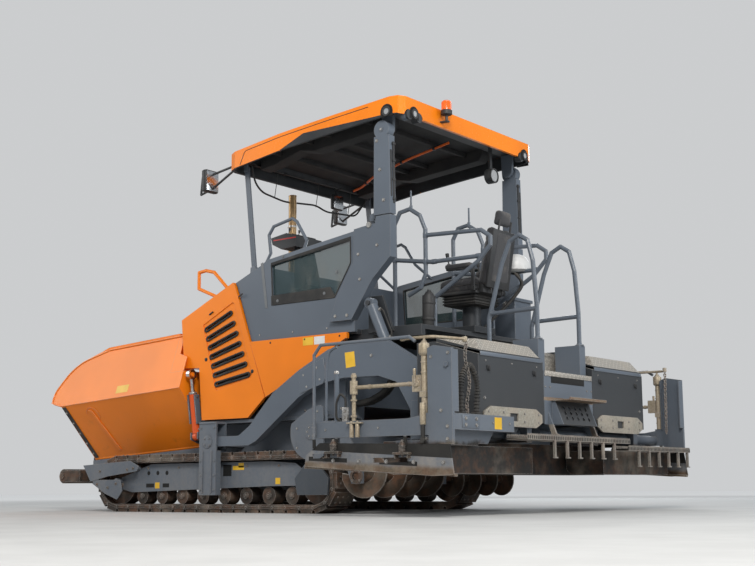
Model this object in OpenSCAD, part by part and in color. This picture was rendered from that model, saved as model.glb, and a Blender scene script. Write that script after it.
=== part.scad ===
// Tracked asphalt paver with an extending screed.
// +X points forward to the hopper, +Y to the left, +Z up. The ground is at Z 0.

/* [Tracks] */
// Distance between the centre lines of the two tracks
track_gauge = 2095; // [1950:5:2095]
// Width of a track shoe
track_w = 305; // [250:5:305]
// Distance from the idler's axis to the sprocket's axis
wheelbase = 2730; // [2500:10:2800]
// Place of the sprocket's axis
sprocket_x = -900; // [-905:1:-890]
// Height of the track loop over its shoes
track_h = 580; // [540:5:600]
// Number of shoes in one track
shoe_count = 42; // [30:1:50]
// Height of a shoe's pad
shoe_h = 28; // [20:1:35]
// Depth of the link chain under the shoes
link_h = 52; // [40:1:60]
// Number of bottom rollers on one side
roller_count = 8; // [5:1:8]
// Radius of a bottom roller
roller_r = 82; // [60:1:84]

/* [Chassis] */
// Room between the main frame and a track
frame_clear = 35; // [30:1:50]
// Thickness of the side plates
plate_t = 40; // [20:5:50]
// Front end of the main frame
frame_front = 2620; // [2550:10:2680]
// Height of the conveyor deck in the tunnel
deck_z = 560; // [540:5:570]
// Height of the tunnel's roof
tunnel_top = 1000; // [940:10:1000]
// Underside of the main frame
belly_z = 300; // [260:10:320]
// Number of slats on each conveyor
slat_count = 15; // [8:1:20]

/* [Hopper] */
// Height of a wing's hinge axis at its rear end
wing_hinge_z = 675; // [665:1:685]
// Radius of a wing's hinge barrel
hinge_r = 18; // [14:1:20]
// Front end of the wings
wing_front = 2890; // [2800:10:2900]
// Distance of the knuckle line from the centre plane
knuckle_y = 1265; // [1200:5:1270]
// Height of the knuckle line above the hinge axis
knuckle_h = 570; // [500:10:600]
// Distance of the rim from the centre plane
rim_y = 1030; // [980:10:1060]
// Height of the rim above the hinge axis
rim_h = 1165; // [1100:5:1180]
// Rise of the hopper's floor to the rear, in degrees
hopper_rise = 3.4; // [2:0.1:4]

/* [Push rollers] */
// Front of the push rollers
front_x = 3165; // [3140:5:3200]
// Height of the rollers' axis
push_z = 380; // [370:5:400]
// Radius of a push roller
push_r = 80; // [70:1:90]
// Length of a push roller
push_len = 560; // [400:10:600]
// Distance from the centre plane to a roller's inner end
push_in = 330; // [200:10:350]

/* [Hood] */
// How far the hood's side stays inside the tracks' outer edge
hood_inset = 80; // [75:1:82]
// Thickness of the hood's panels
panel_t = 35; // [25:5:35]
// Number of slanted louvres in a door
louvre_count = 7; // [4:1:8]
// Height of a louvre slot
louvre_h = 40; // [25:5:50]

/* [Platform] */
// Height of the platform's floor
floor_z = 1680; // [1660:5:1700]
// Rear end of the platform
platform_rear = -2000; // [-2050:10:-1950]
// Diameter of the railings' tubes
rail_d = 42; // [34:1:48]

/* [Canopy] */
// Length of the roof
roof_len = 2185; // [2100:5:2250]
// Rear edge of the roof
roof_rear = -1915; // [-1950:5:-1880]
// How far the roof stands out over the rear posts
roof_over = 40; // [25:5:60]
// Height of the roof's rear top edge
roof_z = 3790; // [3760:5:3820]
// Depth of the roof's rim
rim_d = 170; // [140:5:190]
// Thickness of the roof's shell
roof_t = 28; // [20:1:40]
// Height of the rear posts' fold pin
fold_z = 2700; // [2680:5:2720]
// Place of the rear posts' fold pin
fold_x = -1530; // [-1540:5:-1520]

/* [Screed] */
// Place of the tow pin
tow_x = 405; // [395:5:415]
// Height of the tow pin
tow_z = 685; // [675:5:695]
// Half the width of the basic screed
basic_half = 1500; // [1450:10:1500]
// Underside of the screed's plates
sole_z = 340; // [330:5:380]
// Rear edge of the screed's step
rear_x = -3165; // [-3200:5:-3140]
// How far out an end plate stands at rest
end_y = 2120; // [2100:5:2140]
// Radius of the augers
auger_r = 195; // [180:5:200]
// Pitch of the auger's flights
auger_pitch = 300; // [250:10:350]

/* [Hidden] */
$fn = 48;

steel_grey = [0.36, 0.40, 0.46];
orange = [1.0, 0.50, 0.02];
charcoal = [0.10, 0.10, 0.11];
worn_steel = [0.34, 0.28, 0.24];
bright_steel = [0.72, 0.72, 0.70];
dusty_metal = [0.62, 0.54, 0.40];
gap = 0.3;
pin_r = 22;

track_mid = track_gauge / 2;
track_in = track_mid - track_w / 2;
track_out = track_mid + track_w / 2;
idler_x = sprocket_x + wheelbase;
loop_r = track_h / 2;
frame_half = track_in - frame_clear;
frame_rear = sprocket_x - loop_r - 10;
hood_half = track_out - hood_inset;
side_in = hood_half - 60;
side_out = side_in + 40;
post_out = side_in + 90;
platform_half = side_in - 60;
arm_y0 = track_out - 35;
arm_y1 = arm_y0 + 80;
lift_y = arm_y0 - 77;
hanger_y = track_out + 30;
roof_half = post_out + roof_over;

// Draws its children on the left and, mirrored, on the right.
module both() {
    children();
    mirror([0, 1, 0]) children();
}

// Extrudes an outline given as [x, z] points from y0 to y1.
module slab(points, y0, y1) {
    translate([0, y1, 0]) rotate([90, 0, 0]) linear_extrude(y1 - y0) polygon(points);
}

// A box from its low corner to its high corner.
module block(low, high) {
    translate(low) cube(high - low);
}

// A cylinder along Y from y0 to y1.
module bar_y(x, z, r, y0, y1) {
    translate([x, y1, z]) rotate([90, 0, 0]) cylinder(r = r, h = y1 - y0);
}

// A round bar from p to q, a little longer at each end so that bends join.
module tube(p, q, d, more = 0) {
    v = q - p;
    len = norm(v);
    translate(p)
        rotate([0, acos(v[2] / len), atan2(v[1], v[0])])
        translate([0, 0, -more]) cylinder(d = d, h = len + 2 * more, $fn = 10);
}

// A bent rail through a list of points.
module rail(points, d = rail_d) {
    for (i = [0 : len(points) - 2]) {
        at_end = i == 0 || i == len(points) - 2;
        tube(points[i], points[i + 1], d, more = d * (at_end ? 0.1 : 0.15));
    }
}

pitch_r = loop_r - shoe_h;
loop_len = 2 * wheelbase + 2 * PI * pitch_r;

// Point of the track's loop at s along its pitch line and h outside it.
function loop_point(s, h) =
    let (half = PI * pitch_r, r = pitch_r + h)
    s < wheelbase ? [sprocket_x + s, loop_r - r]
    : s < wheelbase + half
        ? let (a = -90 + (s - wheelbase) / pitch_r * 180 / PI)
            [idler_x + r * cos(a), loop_r + r * sin(a)]
    : s < 2 * wheelbase + half ? [idler_x - (s - wheelbase - half), loop_r + r]
    : let (a = 90 + (s - 2 * wheelbase - half) / pitch_r * 180 / PI)
        [sprocket_x + r * cos(a), loop_r + r * sin(a)];

// Outline of the loop with every shoe standing out of it.
function loop_outline() =
    let (pitch = loop_len / shoe_count, half = pitch * 0.40)
    [for (i = [0 : shoe_count - 1]) for (k = [[-1, 0], [-1, 1], [1, 1], [1, 0]])
        loop_point((i + 0.5) * pitch + k[0] * half, k[1] * shoe_h)];

module track_left() {
    color(worn_steel) track_loop();
}
module track_right() {
    color(worn_steel) mirror([0, 1, 0]) track_loop();
}
module track_loop() {
    translate([0, track_out, 0]) rotate([90, 0, 0]) linear_extrude(track_w) difference() {
        polygon(loop_outline());
        for (x = [sprocket_x, idler_x]) translate([x, loop_r]) circle(r = wheel_r);
        translate([sprocket_x, loop_r - wheel_r]) square([wheelbase, 2 * wheel_r]);
    }
}

wheel_r = pitch_r - link_h;
roller_z = loop_r - wheel_r + roller_r + gap;
roller_from = sprocket_x + wheel_r + roller_r + 40;
roller_step = (idler_x - wheel_r - roller_r - 30 - roller_from) / (roller_count - 1);
rail_low = roller_z + roller_r + 10;
rail_high = loop_r + wheel_r - 15;
frame_y0 = frame_half + 90;
frame_y1 = track_out - 60;
cheek_t = 25;
slot_w = 90;

// Track frames: a beam inside each loop between two long cheek plates.
module track_frames() {
    rear = roller_from - 60;
    color(steel_grey) both() {
        slab([[rear, rail_low], [rear, rail_high - 20], [rear + 300, rail_high], [idler_x - 480, rail_high],
            [idler_x - 270, loop_r + 140], [idler_x - 230, rail_low]], frame_y0, frame_y1);
        for (y = [frame_y0, frame_y1 - cheek_t]) difference() {
            slab([[sprocket_x + 95, loop_r - 30], [rear, 262], [idler_x - 190, 200],
                [idler_x + 40, loop_r - 45], [idler_x + 40, loop_r + 45], [idler_x - 230, loop_r + 120],
                [rear, rail_high - 20], [sprocket_x + 95, loop_r + 60]], y, y + cheek_t);
            // Slots through which the roller pins are greased.
            for (i = [0 : roller_count - 2]) {
                mid = roller_from + (i + 0.5) * roller_step;
                block([mid - slot_w / 2, y - 1, roller_z - 20],
                    [mid + slot_w / 2, y + cheek_t + 1, roller_z + 20]);
            }
        }
    }
}

// Sprocket, idler and rollers, with the cover over the sprocket's hub.
module track_wheels() {
    y0 = frame_y0 + cheek_t + gap;
    y1 = frame_y1 - cheek_t - gap;
    color(charcoal) both() {
        for (i = [0 : roller_count - 1]) bar_y(roller_from + i * roller_step, roller_z, roller_r, y0, y1);
        bar_y(idler_x, loop_r, wheel_r - gap, y0, y1);
        bar_y(sprocket_x, loop_r, wheel_r - gap, y0, y1);
        bar_y(sprocket_x, loop_r, 90, y1 - 1, track_out + 5);
        slab([[sprocket_x - 190, 170], [sprocket_x + 170, 170], [sprocket_x + 205, 320],
            [sprocket_x + 60, 470], [sprocket_x - 60, 470], [sprocket_x - 205, 320]],
            track_out + 5, track_out + 30);
    }
}

wing_hinge_y = frame_half - plate_t / 2;
hopper_x = 800;

// Height at x of a line that runs z above the wings' hinge axis.
function hopper_line(x, z) = wing_hinge_z + z - (x - hopper_x) * tan(hopper_rise);

// Height of the conveyor deck at x.
function deck_at(x) = deck_z - max(0, x - hopper_x) * tan(hopper_rise);

deck_front = 2350;
belly_t = 12;
hinge_pin_r = 8;
deck_t = 20;
ear_t = 25;
ear_len = 150;
pivot_x = frame_front + 80;
pivot_r = 40;

// Main frame: side plates, conveyor deck, tunnel, belly plate and cross members.
module chassis_frame() {
    inner = frame_half - plate_t;
    shelf = hood_half - panel_t - gap;
    color(steel_grey) {
        both() {
            slab([[frame_front, belly_z], [frame_front, hopper_line(frame_front, -hinge_r - gap)],
                [hopper_x - 10, hopper_line(hopper_x - 10, -hinge_r - gap)], [hopper_x - 10, tunnel_top],
                [frame_rear, tunnel_top], [frame_rear, 470], [-900, belly_z]], inner, frame_half);
            for (x = [sprocket_x + 500, idler_x - 730])
                block([x, frame_half, belly_z + 20], [x + 200, frame_y0, belly_z + 140]);
            block([frame_rear, frame_half, 870], [640, shelf, 900]);
            block([frame_rear, frame_half, 900], [frame_rear + 30, shelf - 20, floor_z - 100]);
            block([640, frame_half, 870], [690, shelf, 1450 - gap]);
            hopper_frame() for (x = [cyl_x - 53, cyl_x + 43])
                slab_x(x, 10, [[frame_half - 5, -35], [frame_half - 5, 125], [cyl_low[0] - 30, 125],
                    [cyl_low[0] + 35, 115], [cyl_low[0] + 40, 45], [cyl_low[0] - 20, 25],
                    [frame_half + 60, -35]]);
            hopper_frame() cross_bar(cyl_x - 44, cyl_low, pin_r, 88);
            hopper_frame() cross_bar(-10, [wing_hinge_y, 0], hinge_pin_r, frame_front - hopper_x + 8);
            for (x = [hopper_x - 8, frame_front - 8]) hinge_ear(x);
        }
        slab([[frame_rear, deck_z - deck_t], [hopper_x, deck_z - deck_t],
            [deck_front, deck_at(deck_front) - deck_t], [deck_front, deck_at(deck_front)],
            [hopper_x, deck_z], [frame_rear, deck_z]], -inner, inner);
        block([-900, -inner, belly_z], [deck_front, inner, belly_z + belly_t]);
        slab([[-900, belly_z], [-900, belly_z + belly_t], [frame_rear, 480], [frame_rear, 465]],
            -inner, inner);
        block([frame_rear, -inner, tunnel_top - 20], [hopper_x - 10, inner, tunnel_top]);
        block([frame_front - 120, -inner, belly_z], [frame_front, inner, 440]);
        slab([[deck_front, belly_z], [frame_front - 120, belly_z], [frame_front - 120, 440],
            [deck_front, deck_at(deck_front)], [deck_front - 20, deck_at(deck_front) - deck_t],
            [deck_front - 20, belly_z]], -inner, inner);
        block([frame_rear, -frame_half, tunnel_top], [frame_rear + 30, frame_half, floor_z - 100]);
        block([660, -frame_half, tunnel_top], [690, frame_half, 1450 - gap]);
        for (z = [push_z - push_h - gap - ear_t, push_z + push_h + gap])
            block([frame_front, -130, z], [frame_front + ear_len, 130, z + ear_t]);
        translate([pivot_x, 0, push_z - push_h - gap]) cylinder(r = pivot_r, h = 2 * (push_h + gap));
    }
}

push_h = 60;

// Extrudes an outline given as [y, z] points over t along X from x.
module slab_x(x, t, points) {
    translate([x, 0, 0]) rotate([90, 0, 90]) linear_extrude(t) polygon(points);
}

// Ear that holds an end of a wing's hinge pin.
module hinge_ear(x) {
    z = hopper_line(x, 0);
    slab_x(x - 4, 8, [[wing_hinge_y - 20, z - 30], [wing_hinge_y + 20, z - 30],
        [wing_hinge_y + 16, z + 16], [wing_hinge_y - 16, z + 16]]);
}

// Frame of the hopper: its origin lies over the rear end of the wings' hinges, its X along them.
module hopper_frame() {
    translate([hopper_x, 0, wing_hinge_z]) rotate([0, hopper_rise, 0]) children();
}

// A cylinder of length h along X from x, its axis through the [y, z] point.
module cross_bar(x, at, r, h) {
    translate([x, at[0], at[1]]) rotate([0, 90, 0]) cylinder(r = r, h = h);
}

// Two slatted conveyors on the deck, the full length of hopper and tunnel.
module conveyors() {
    lane = 330;
    end = deck_front - 20;
    color(bright_steel) for (side = [-1, 1]) {
        y = side * 400;
        for (dy = [-lane, lane]) slab([for (p = [[frame_rear + 20, gap], [hopper_x, gap], [end, gap],
            [end, 40], [hopper_x, 40], [frame_rear + 20, 40]]) [p[0], deck_at(p[0]) + p[1]]],
            y + dy - 12, y + dy + 12);
        for (i = [0 : slat_count - 1]) {
            x = frame_rear + 80 + i * (end - frame_rear - 160) / (slat_count - 1);
            slab([for (p = [[-20, 8], [20, 8], [20, 34], [-20, 34]]) [x + p[0], deck_at(x + p[0]) + p[1]]],
                y - lane, y + lane);
        }
    }
}

module engine_block() {
    color(charcoal) block([20, -400, tunnel_top + gap], [600, 400, 1750]);
}

// Guides in which the tow arms' front ends are held, on beams over the tracks.
module tow_guides() {
    front = tow_x + 115;
    rear = tow_x - 115;
    color(steel_grey) both() {
        in = arm_y0 - 15;
        out = arm_y1 + 10;
        block([rear + 10, frame_half, 640], [front - 10, in - 20, 740]);
        block([rear, in - 20, 600], [front, in, 880]);
        block([rear, out, 170], [front, out + 20, 880]);
        block([front - 20, in, 600], [front, out, 880]);
        block([rear, in, 860], [front, out, 880]);
        for (x = [rear, front - 20]) block([x, track_out + 5, 170], [x + 20, out, 600]);
        bar_y(tow_x, tow_z, tow_r, in, out);
    }
}

tow_r = 40;
door_line = [[965, 1950], [235, 2270], [205, 2230], [-205, 1100], [15, 912], [650, 912], [698, 1440],
    [915, 1450]];

// Hood top and nose as one bent cover between the side panels.
module hood_cover() {
    half = hood_half - panel_t - gap;
    color(orange) difference() {
        slab([[965, 1950], [235, 2270], [-90, 2270], [-90, 2240], [228, 2240], [932, 1932],
            [885, 1475], [650, 1475], [650, 1450], [915, 1450]], -half, half);
        both() block([-100, side_in - gap, 2200], [222, half + 1, 2280]);
    }
    // Handles on the hood's slope.
    y = half - 35;
    color(orange) both() rail([[345, y, 2205], [570, y, 2420], [690, y, 2450], [790, y, 2440],
        [790, y, 2270], [500, y, 2150]], d = 36);
}

module hood_door_left() {
    color(orange) hood_door();
}
module hood_door_right() {
    color(orange) mirror([0, 1, 0]) hood_door();
}

// Side door of the hood with its recessed field of slanted slots.
module hood_door() {
    difference() {
        slab(door_line, hood_half - panel_t, hood_half);
        slab([[650, 1870], [640, 1880], [240, 2070], [215, 2060], [-40, 1330], [-20, 1300], [440, 1200],
            [465, 1215]], hood_half - 10, hood_half + 1);
        for (i = [0 : louvre_count - 1]) {
            f = i / (louvre_count - 1);
            x0 = 615 - 150 * f;
            z0 = 1800 - 560 * f;
            x1 = 255 - 250 * f;
            z1 = 1985 - 630 * f;
            slab([[x0, z0], [x0 - 6, z0 + louvre_h], [x1, z1], [x1 + 6, z1 - louvre_h]],
                hood_half - panel_t - 1, hood_half - 9);
        }
    }
}

module hood_rear_panels() {
    color(orange) both() slab([[-5, 1655], [-1235, 1655], [-1235, 1600], [-845, 1400], [-575, 1260],
        [-218, 1102]], hood_half - panel_t, hood_half);
    color(steel_grey) both() slab([[-1190, 900 + gap], [-1190, floor_z - 105], [-1050, 1480],
        [-845, 1390], [-575, 1250], [-228, 1092], [-32, 900 + gap]],
        hood_half - panel_t - 20, hood_half - panel_t - gap);
    // Bolting strips between the grey and the orange panels.
    color(steel_grey) both() for (x = [-1180, -700, -300])
        block([x, hood_half - panel_t - 20, 1420], [x + 60, hood_half - panel_t + 1, 1450]);
}

sill_low = 1655 + gap;
sill_top = 1760;
glass_line = [[-270, 2390], [-1270, 2530], [-1270, 2300], [-1075, 1995], [-290, 1995]];

module cabin_sides() {
    color(steel_grey) both() difference() {
        slab([[215, 2264], [-145, 2410], [-205, 2450], [-1335, 2600], [-1325, 2292], [-1133, 1975],
            [-1043, sill_top], [-1315, sill_top], [-1315, sill_low], [-16, sill_low], [188, 2225]],
            side_in, side_out);
        slab(glass_line, side_in - 1, side_out + 1);
    }
    // Hand hoops over the cabin's sides.
    y = platform_half - 100;
    foot = side_in + 12;
    color(steel_grey) both() rail([[-160, foot, 2405], [-75, y, 2560], [-50, y, 2750], [-114, y, 2832],
        [-366, y, 2880], [-425, y, 2840], [-555, y, 2634], [-660, foot, 2480]], d = 32);
}
module cabin_glass() {
    color([0.5, 0.6, 0.65, 0.4]) both() slab([[-273, 2386], [-1266, 2525], [-1266, 2302], [-1077, 1999],
        [-293, 1999]], side_in + 16, side_in + 24);
}

exhaust_x = 170;
exhaust_y = 300;
exhaust_foot = 2345;
exhaust_len = 950;
stack_x = 236;
stack_z = 2322;
wall_x = -130;

// Wall between hood and cabin with the instrument panel on top.
module scuttle() {
    wide = side_in - gap;
    color(steel_grey) {
        slab([[-90 - gap, 2270 + gap], [190, 2270 + gap], [190, 2282], [-100, 2390], [wall_x - 30, 2390],
            [wall_x - 30, floor_z + gap], [wall_x, floor_z + gap], [wall_x, 2240], [-90 - gap, 2240]],
            -wide, wide);
        both() {
            for (y = [platform_half - 30, platform_half + 3])
                slab([[20, 2335], [100, 2308], [94, 2418], [60, 2432], [26, 2418]], y, y + 12);
            bar_y(front_low[0], front_low[1], post_pin_r, platform_half - 30, platform_half + 15);
        }
        translate([exhaust_x, exhaust_y, 2275]) cylinder(r = 50, h = exhaust_foot - gap - 2275);
        for (y = [exhaust_y - 32, exhaust_y + 20])
            slab([[160, 2275], [stack_x + 14, stack_z - 14], [stack_x + 14, stack_z + 12],
                [stack_x - 12, stack_z + 12], [160, 2320]], y, y + 12);
        bar_y(stack_x, stack_z, 8, exhaust_y - 32, exhaust_y + 32);
    }
    color(charcoal) {
        slab([[wall_x - 30, 2200], [wall_x - 30, 2660], [-230, 2660], [-330, 2250]], 420, 640);
        // Control panel on its column.
        slab([[-250, 2640], [-60, 2630], [60, 2690], [80, 2760], [-130, 2790], [-260, 2750]], 330, 730);
    }
}

module platform_deck() {
    color(charcoal) {
        block([platform_rear, -platform_half, floor_z - 40], [wall_x, platform_half, floor_z]);
        both() {
            block([platform_rear, platform_half - 60, floor_z - 100], [wall_x, platform_half, floor_z - 40]);
            block([-1315, platform_half, floor_z - 40], [wall_x - 30, side_in - gap, floor_z]);
        }
    }
    color(steel_grey) both() {
        slab([[-1420, floor_z - 40], [-1420, 1975], [-1580, 1975], [-1700, floor_z - 40]],
            platform_half, platform_half + 25);
        bar_y(lift_top[0], lift_top[1], pin_r, platform_half + 24, arm_y0 - 15);
    }
}

// Arches that carry the rear posts, each with the ear and pin on which a post folds.
module rear_arches() {
    color(steel_grey) both() {
        slab([[-1052, sill_top + gap], [-1142, 1975], [-1342, 2290], [-1350, 2600], [-1440, 2612],
            [-1600, 2625], [-1610, fold_z - 10], [-1775, fold_z - 10], [-1770, 2300], [-1560, 2110],
            [-1315, sill_top + gap]], side_in, post_out);
        slab([[fold_x - 48, 2560], [fold_x - 48, fold_z + 20], [fold_x, fold_z + 45], [fold_x + 45, fold_z],
            [fold_x + 50, 2560]], side_in - 20, side_in);
        bar_y(fold_x, fold_z, pin_r, side_in - 20, side_in + 26);
    }
}

// Guard rails beside the central way up to the platform.
module platform_rails() {
    y = 500;
    foot = floor_z + rail_d * 0.1 + gap;
    color(steel_grey) both() {
        rail([[-1335, y, foot], [-1335, y, 2750], [-1400, y, 2860], [-1520, y, 2880], [-1640, y, 2800],
            [-1700, y, 2660], [-1700, y, 2230], [-1640, y, 2100], [-1500, y, 2040]]);
        rail([[-1700, y, 2600], [-2330, y, 2570], [-2430, y, 2500], [-2430, y, 2420], [-2290, y, 2280],
            [-1800, y, 1990], [-1800, y, foot]]);
        rail([[-1335, y, 2400], [-1765, y, 2335], [-2340, y, 2330]]);
    }
}

auger_x = frame_rear - 250;
auger_z = 335;
flight_a = 9;

// Hangers that carry the augers behind the frame, with the side deflectors.
module auger_frame() {
    color(steel_grey) {
        difference() {
            slab([[frame_rear, 480], [frame_rear, 960], [-1330, 960], [-1500, 700], [-1520, 260],
                [-1380, 260], [-1330, 480]], -45, 45);
            bar_y(auger_x, auger_z, 35 + gap, -46, 46);
        }
        block([-1330, -hanger_y, 620], [-1260, hanger_y, 700]);
        both() {
            block([-1270, 790, 620], [frame_rear, frame_half + 10, 700]);
            difference() {
                slab([[-1260, 700], [-1360, 700], [-1520, 420], [-1520, 270], [-1390, 270], [-1260, 620]],
                    hanger_y, hanger_y + 20);
                bar_y(auger_x, auger_z, 35 + gap, hanger_y - 1, hanger_y + 21);
            }
        }
    }
    color(steel_grey) both() {
        // Round-fronted plate that keeps the mix off the track, on its arm.
        intersection() {
            bar_y(-900, 745, 262, track_out + 5, track_out + 25);
            slab([[-640, 480], [-640, 820], [-860, 950], [-1040, 1000], [-1040, 500], [-860, 480]],
                track_out, track_out + 30);
        }
        block([-1000, hood_half - panel_t, 905], [-940, track_out + 5, 940]);
        bar_y(-900, 745, 70, track_out + 24, track_out + 34);
    }
}

module auger_left() {
    color(worn_steel) auger();
}
module auger_right() {
    color(worn_steel) mirror([0, 1, 0]) auger();
}

// Shaft with a helical flight swept round it.
module auger() {
    y0 = 60;
    y1 = hanger_y - 15;
    turns = (y1 - y0) / auger_pitch;
    bar_y(auger_x, auger_z, 55, 50, hanger_y - 8);
    bar_y(auger_x, auger_z, 35, 20, hanger_y + 20);
    translate([auger_x, y1, auger_z]) rotate([90, 0, 0])
        linear_extrude(y1 - y0, twist = 360 * turns, slices = ceil(24 * turns))
        polygon([for (p = [[45, -flight_a], [auger_r, -flight_a], [auger_r, flight_a], [45, flight_a]])
            [p[0] * cos(p[1]), p[0] * sin(p[1])]]);
}

// A hopper wing folded up: hinge barrel, floor plate, side plate, rolled rim and rear walls.
module wing() {
    length = wing_front - hopper_x;
    notch = 190;
    notch_z = 745;
    hy = wing_hinge_y;
    hopper_frame() difference() {
        union() {
            slab_x(0, length, [[hy - 8, 0], [hy + 16, 0], [knuckle_y, knuckle_h],
                [rim_y + 22, rim_h - 30], [rim_y + 22, rim_h], [rim_y - 24, rim_h],
                [rim_y - 24, rim_h - 40], [rim_y + 2, rim_h - 40], [knuckle_y - 20, knuckle_h]]);
            for (x = [0, notch]) slab_x(x, 12, [[hy, 20], [hy + 30, 20], [knuckle_y - 10, knuckle_h],
                [rim_y, rim_h - 20], [rim_y - 150, rim_h - 60], [hy, 300]]);
            cross_bar(4, [hy, 0], hinge_r, frame_front - hopper_x - 24);
            // Pin on the rear wall for the cylinder's eye.
            cross_bar(cyl_x - 26, cyl_top, pin_r, 30 - cyl_x);
        }
        block([-1, 0, notch_z], [notch, 2000, 2000]);
        cross_bar(-5, [hy, 0], hinge_pin_r + gap, length);
        slab([[length + 10, -60], [1790, -60], [1870, knuckle_h], [2060, 620], [2040, 760], [1880, 960],
            [1700, 1060], [1300, rim_h + 1], [length + 10, rim_h + 1]], 0, 2000);
    }
}
module wing_left() {
    color(orange) wing();
}
module wing_right() {
    color(orange) mirror([0, 1, 0]) wing();
}

// Eyes of a wing's cylinder at rest as [y, z] and its place, all in the hopper's frame.
cyl_x = -60;
cyl_low = [1095, 75];
cyl_top = [1150, 700];
cyl_len = norm(cyl_top - cyl_low);
cyl_turn = atan2(cyl_top[0] - cyl_low[0], cyl_top[1] - cyl_low[1]);

module wing_cylinder_frame() {
    hopper_frame() translate([cyl_x, cyl_low[0], cyl_low[1]]) rotate([-cyl_turn, 0, 0]) children();
}
module wing_barrel() {
    wing_cylinder_frame() difference() {
        union() {
            translate([0, 0, 30]) cylinder(r = 38, h = 400);
            cross_bar(-22, [0, 0], 40, 44);
        }
        cross_bar(-30, [0, 0], pin_r + gap, 60);
        translate([0, 0, 60]) cylinder(r = 20 + gap, h = 400);
    }
}
module wing_rod() {
    wing_cylinder_frame() difference() {
        union() {
            translate([0, 0, 250]) cylinder(r = 20, h = cyl_len - 280);
            cross_bar(-22, [0, cyl_len], 52, 44);
        }
        cross_bar(-30, [0, cyl_len], pin_r + 18, 60);
    }
}
module wing_barrel_left() {
    color("orangered") wing_barrel();
}
module wing_barrel_right() {
    color("orangered") mirror([0, 1, 0]) wing_barrel();
}
module wing_rod_left() {
    color(bright_steel) wing_rod();
}
module wing_rod_right() {
    color(bright_steel) mirror([0, 1, 0]) wing_rod();
}

push_x = front_x - push_r;

// Oscillating cross bar that carries the two push rollers.
module push_bar() {
    front = push_x - push_r - 30;
    tip = push_in + push_len + 26;
    color(worn_steel) difference() {
        union() {
            translate([0, 0, push_z - push_h]) linear_extrude(2 * push_h) polygon([
                [frame_front + 15, -60], [frame_front + 30, -130], [front - 200, -tip], [front, -tip],
                [front, tip], [front - 200, tip], [frame_front + 30, 130], [frame_front + 15, 60]]);
            for (side = [-1, 1], y = [push_in - 26, push_in + push_len + 6])
                slab([[front, push_z - push_h], [push_x + 30, push_z - 55], [push_x + 50, push_z],
                    [push_x + 30, push_z + 55], [front, push_z + push_h]],
                    side > 0 ? y : -y - 20, side > 0 ? y + 20 : -y);
        }
        for (side = [-1, 1]) {
            bar_y(push_x, push_z, 25 + gap, side > 0 ? push_in - 30 : -push_in - push_len - 30,
                side > 0 ? push_in + push_len + 30 : -push_in + 30);
        }
        translate([pivot_x, 0, push_z - push_h - 1]) cylinder(r = pivot_r + gap, h = 2 * push_h + 2);
    }
}
module push_roller(y) {
    bar_y(push_x, push_z, push_r, y, y + push_len);
    bar_y(push_x, push_z, 25, y - 26, y + push_len + 26);
}
module push_roller_left() {
    color(worn_steel) push_roller(push_in);
}
module push_roller_right() {
    color(worn_steel) push_roller(-push_in - push_len);
}

// Tow arms from the tow pins back to the screed, with the lift cylinders' pins.
module screed_arms() {
    color(steel_grey) both() {
        difference() {
            slab([[tow_x + 60, tow_z - 55], [tow_x + 60, tow_z + 55], [270, 735], [15, 735], [-135, 830],
                [-435, 1130], [-755, 1320], [-1115, 1490], [-1295, 1520], [-1800, 1520], [-2180, 1300],
                [-2285, 1000], [-2285, 620 + gap], [-2050, 620 + gap], [-2050, 900], [-1900, 1150],
                [-1700, 1215], [-1295, 1220], [-995, 1180], [-755, 1070], [-435, 840], [-215, 680],
                [-115, 640], [270, 640]], arm_y0, arm_y1);
            bar_y(tow_x, tow_z, tow_r + gap, arm_y0 - 1, arm_y1 + 1);
        }
        bar_y(lift_low[0], lift_low[1], pin_r, lift_y - 53, arm_y0 + 1);
    }
}

tube_at = [-2580, -2740];
guide_z = 690;
guide_r = 45;

// Basic screed with its sole plates.
module screed_base() {
    color(steel_grey) {
        slab([[-1950, sole_z + 60], [-1990, sole_z + 15], [-2060, sole_z], [-2450, sole_z], [-2450, 620],
            [-1950, 620]], -basic_half, basic_half);
        // Guides of the extensions' tubes.
        both() for (y = [560, 1380]) difference() {
            block([-2850, y, 610], [-2350, y + 80, 780 - gap]);
            for (x = tube_at) bar_y(x, guide_z, guide_r + gap, y - 1, y + 81);
        }
    }
}

cover_out = 1480;
cover_in = 450;

// Rear housings of the screed with sloping tread plates on top.
module screed_covers() {
    color(charcoal) both() {
        difference() {
            slab([[-2300, 780], [-2300, 1440], [-2480, 1440], [-2915, 1310], [-2915, 780]],
                cover_in, cover_out);
            slab([[-2299, 795], [-2299, 1425], [-2478, 1425], [-2900, 1299], [-2900, 795]],
                cover_in + 15, cover_out - 15);
        }
    }
    color(bright_steel) both() {
        slab([[-2480, 1440 + gap], [-2480, 1470], [-2915, 1345], [-2915, 1310 + gap]],
            cover_in + 40, cover_out - 30);
        translate([-2930, (cover_in + cover_out) / 2, 810])
            rotate([90, 0, 90]) linear_extrude(15 - gap) difference() {
            polygon([for (p = [[-1, -0.4], [-0.78, -1], [0.78, -1], [1, -0.4], [1, 0.4], [0.78, 1],
                [-0.78, 1], [-1, 0.4]]) [p[0] * 460, p[1] * 80]]);
            square([130, 66], center = true);
        }
    }
}

step_low = 620;
step_mid = -680;
step_t = 14;
step_front = -2960;
step_inset = 30;
tooth_pitch = 30;
tooth_line = [[0.1, 32], [0.35, 46], [0.65, 46], [0.9, 32]];
tine_reach = 22;
tine_step = 215;

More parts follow.
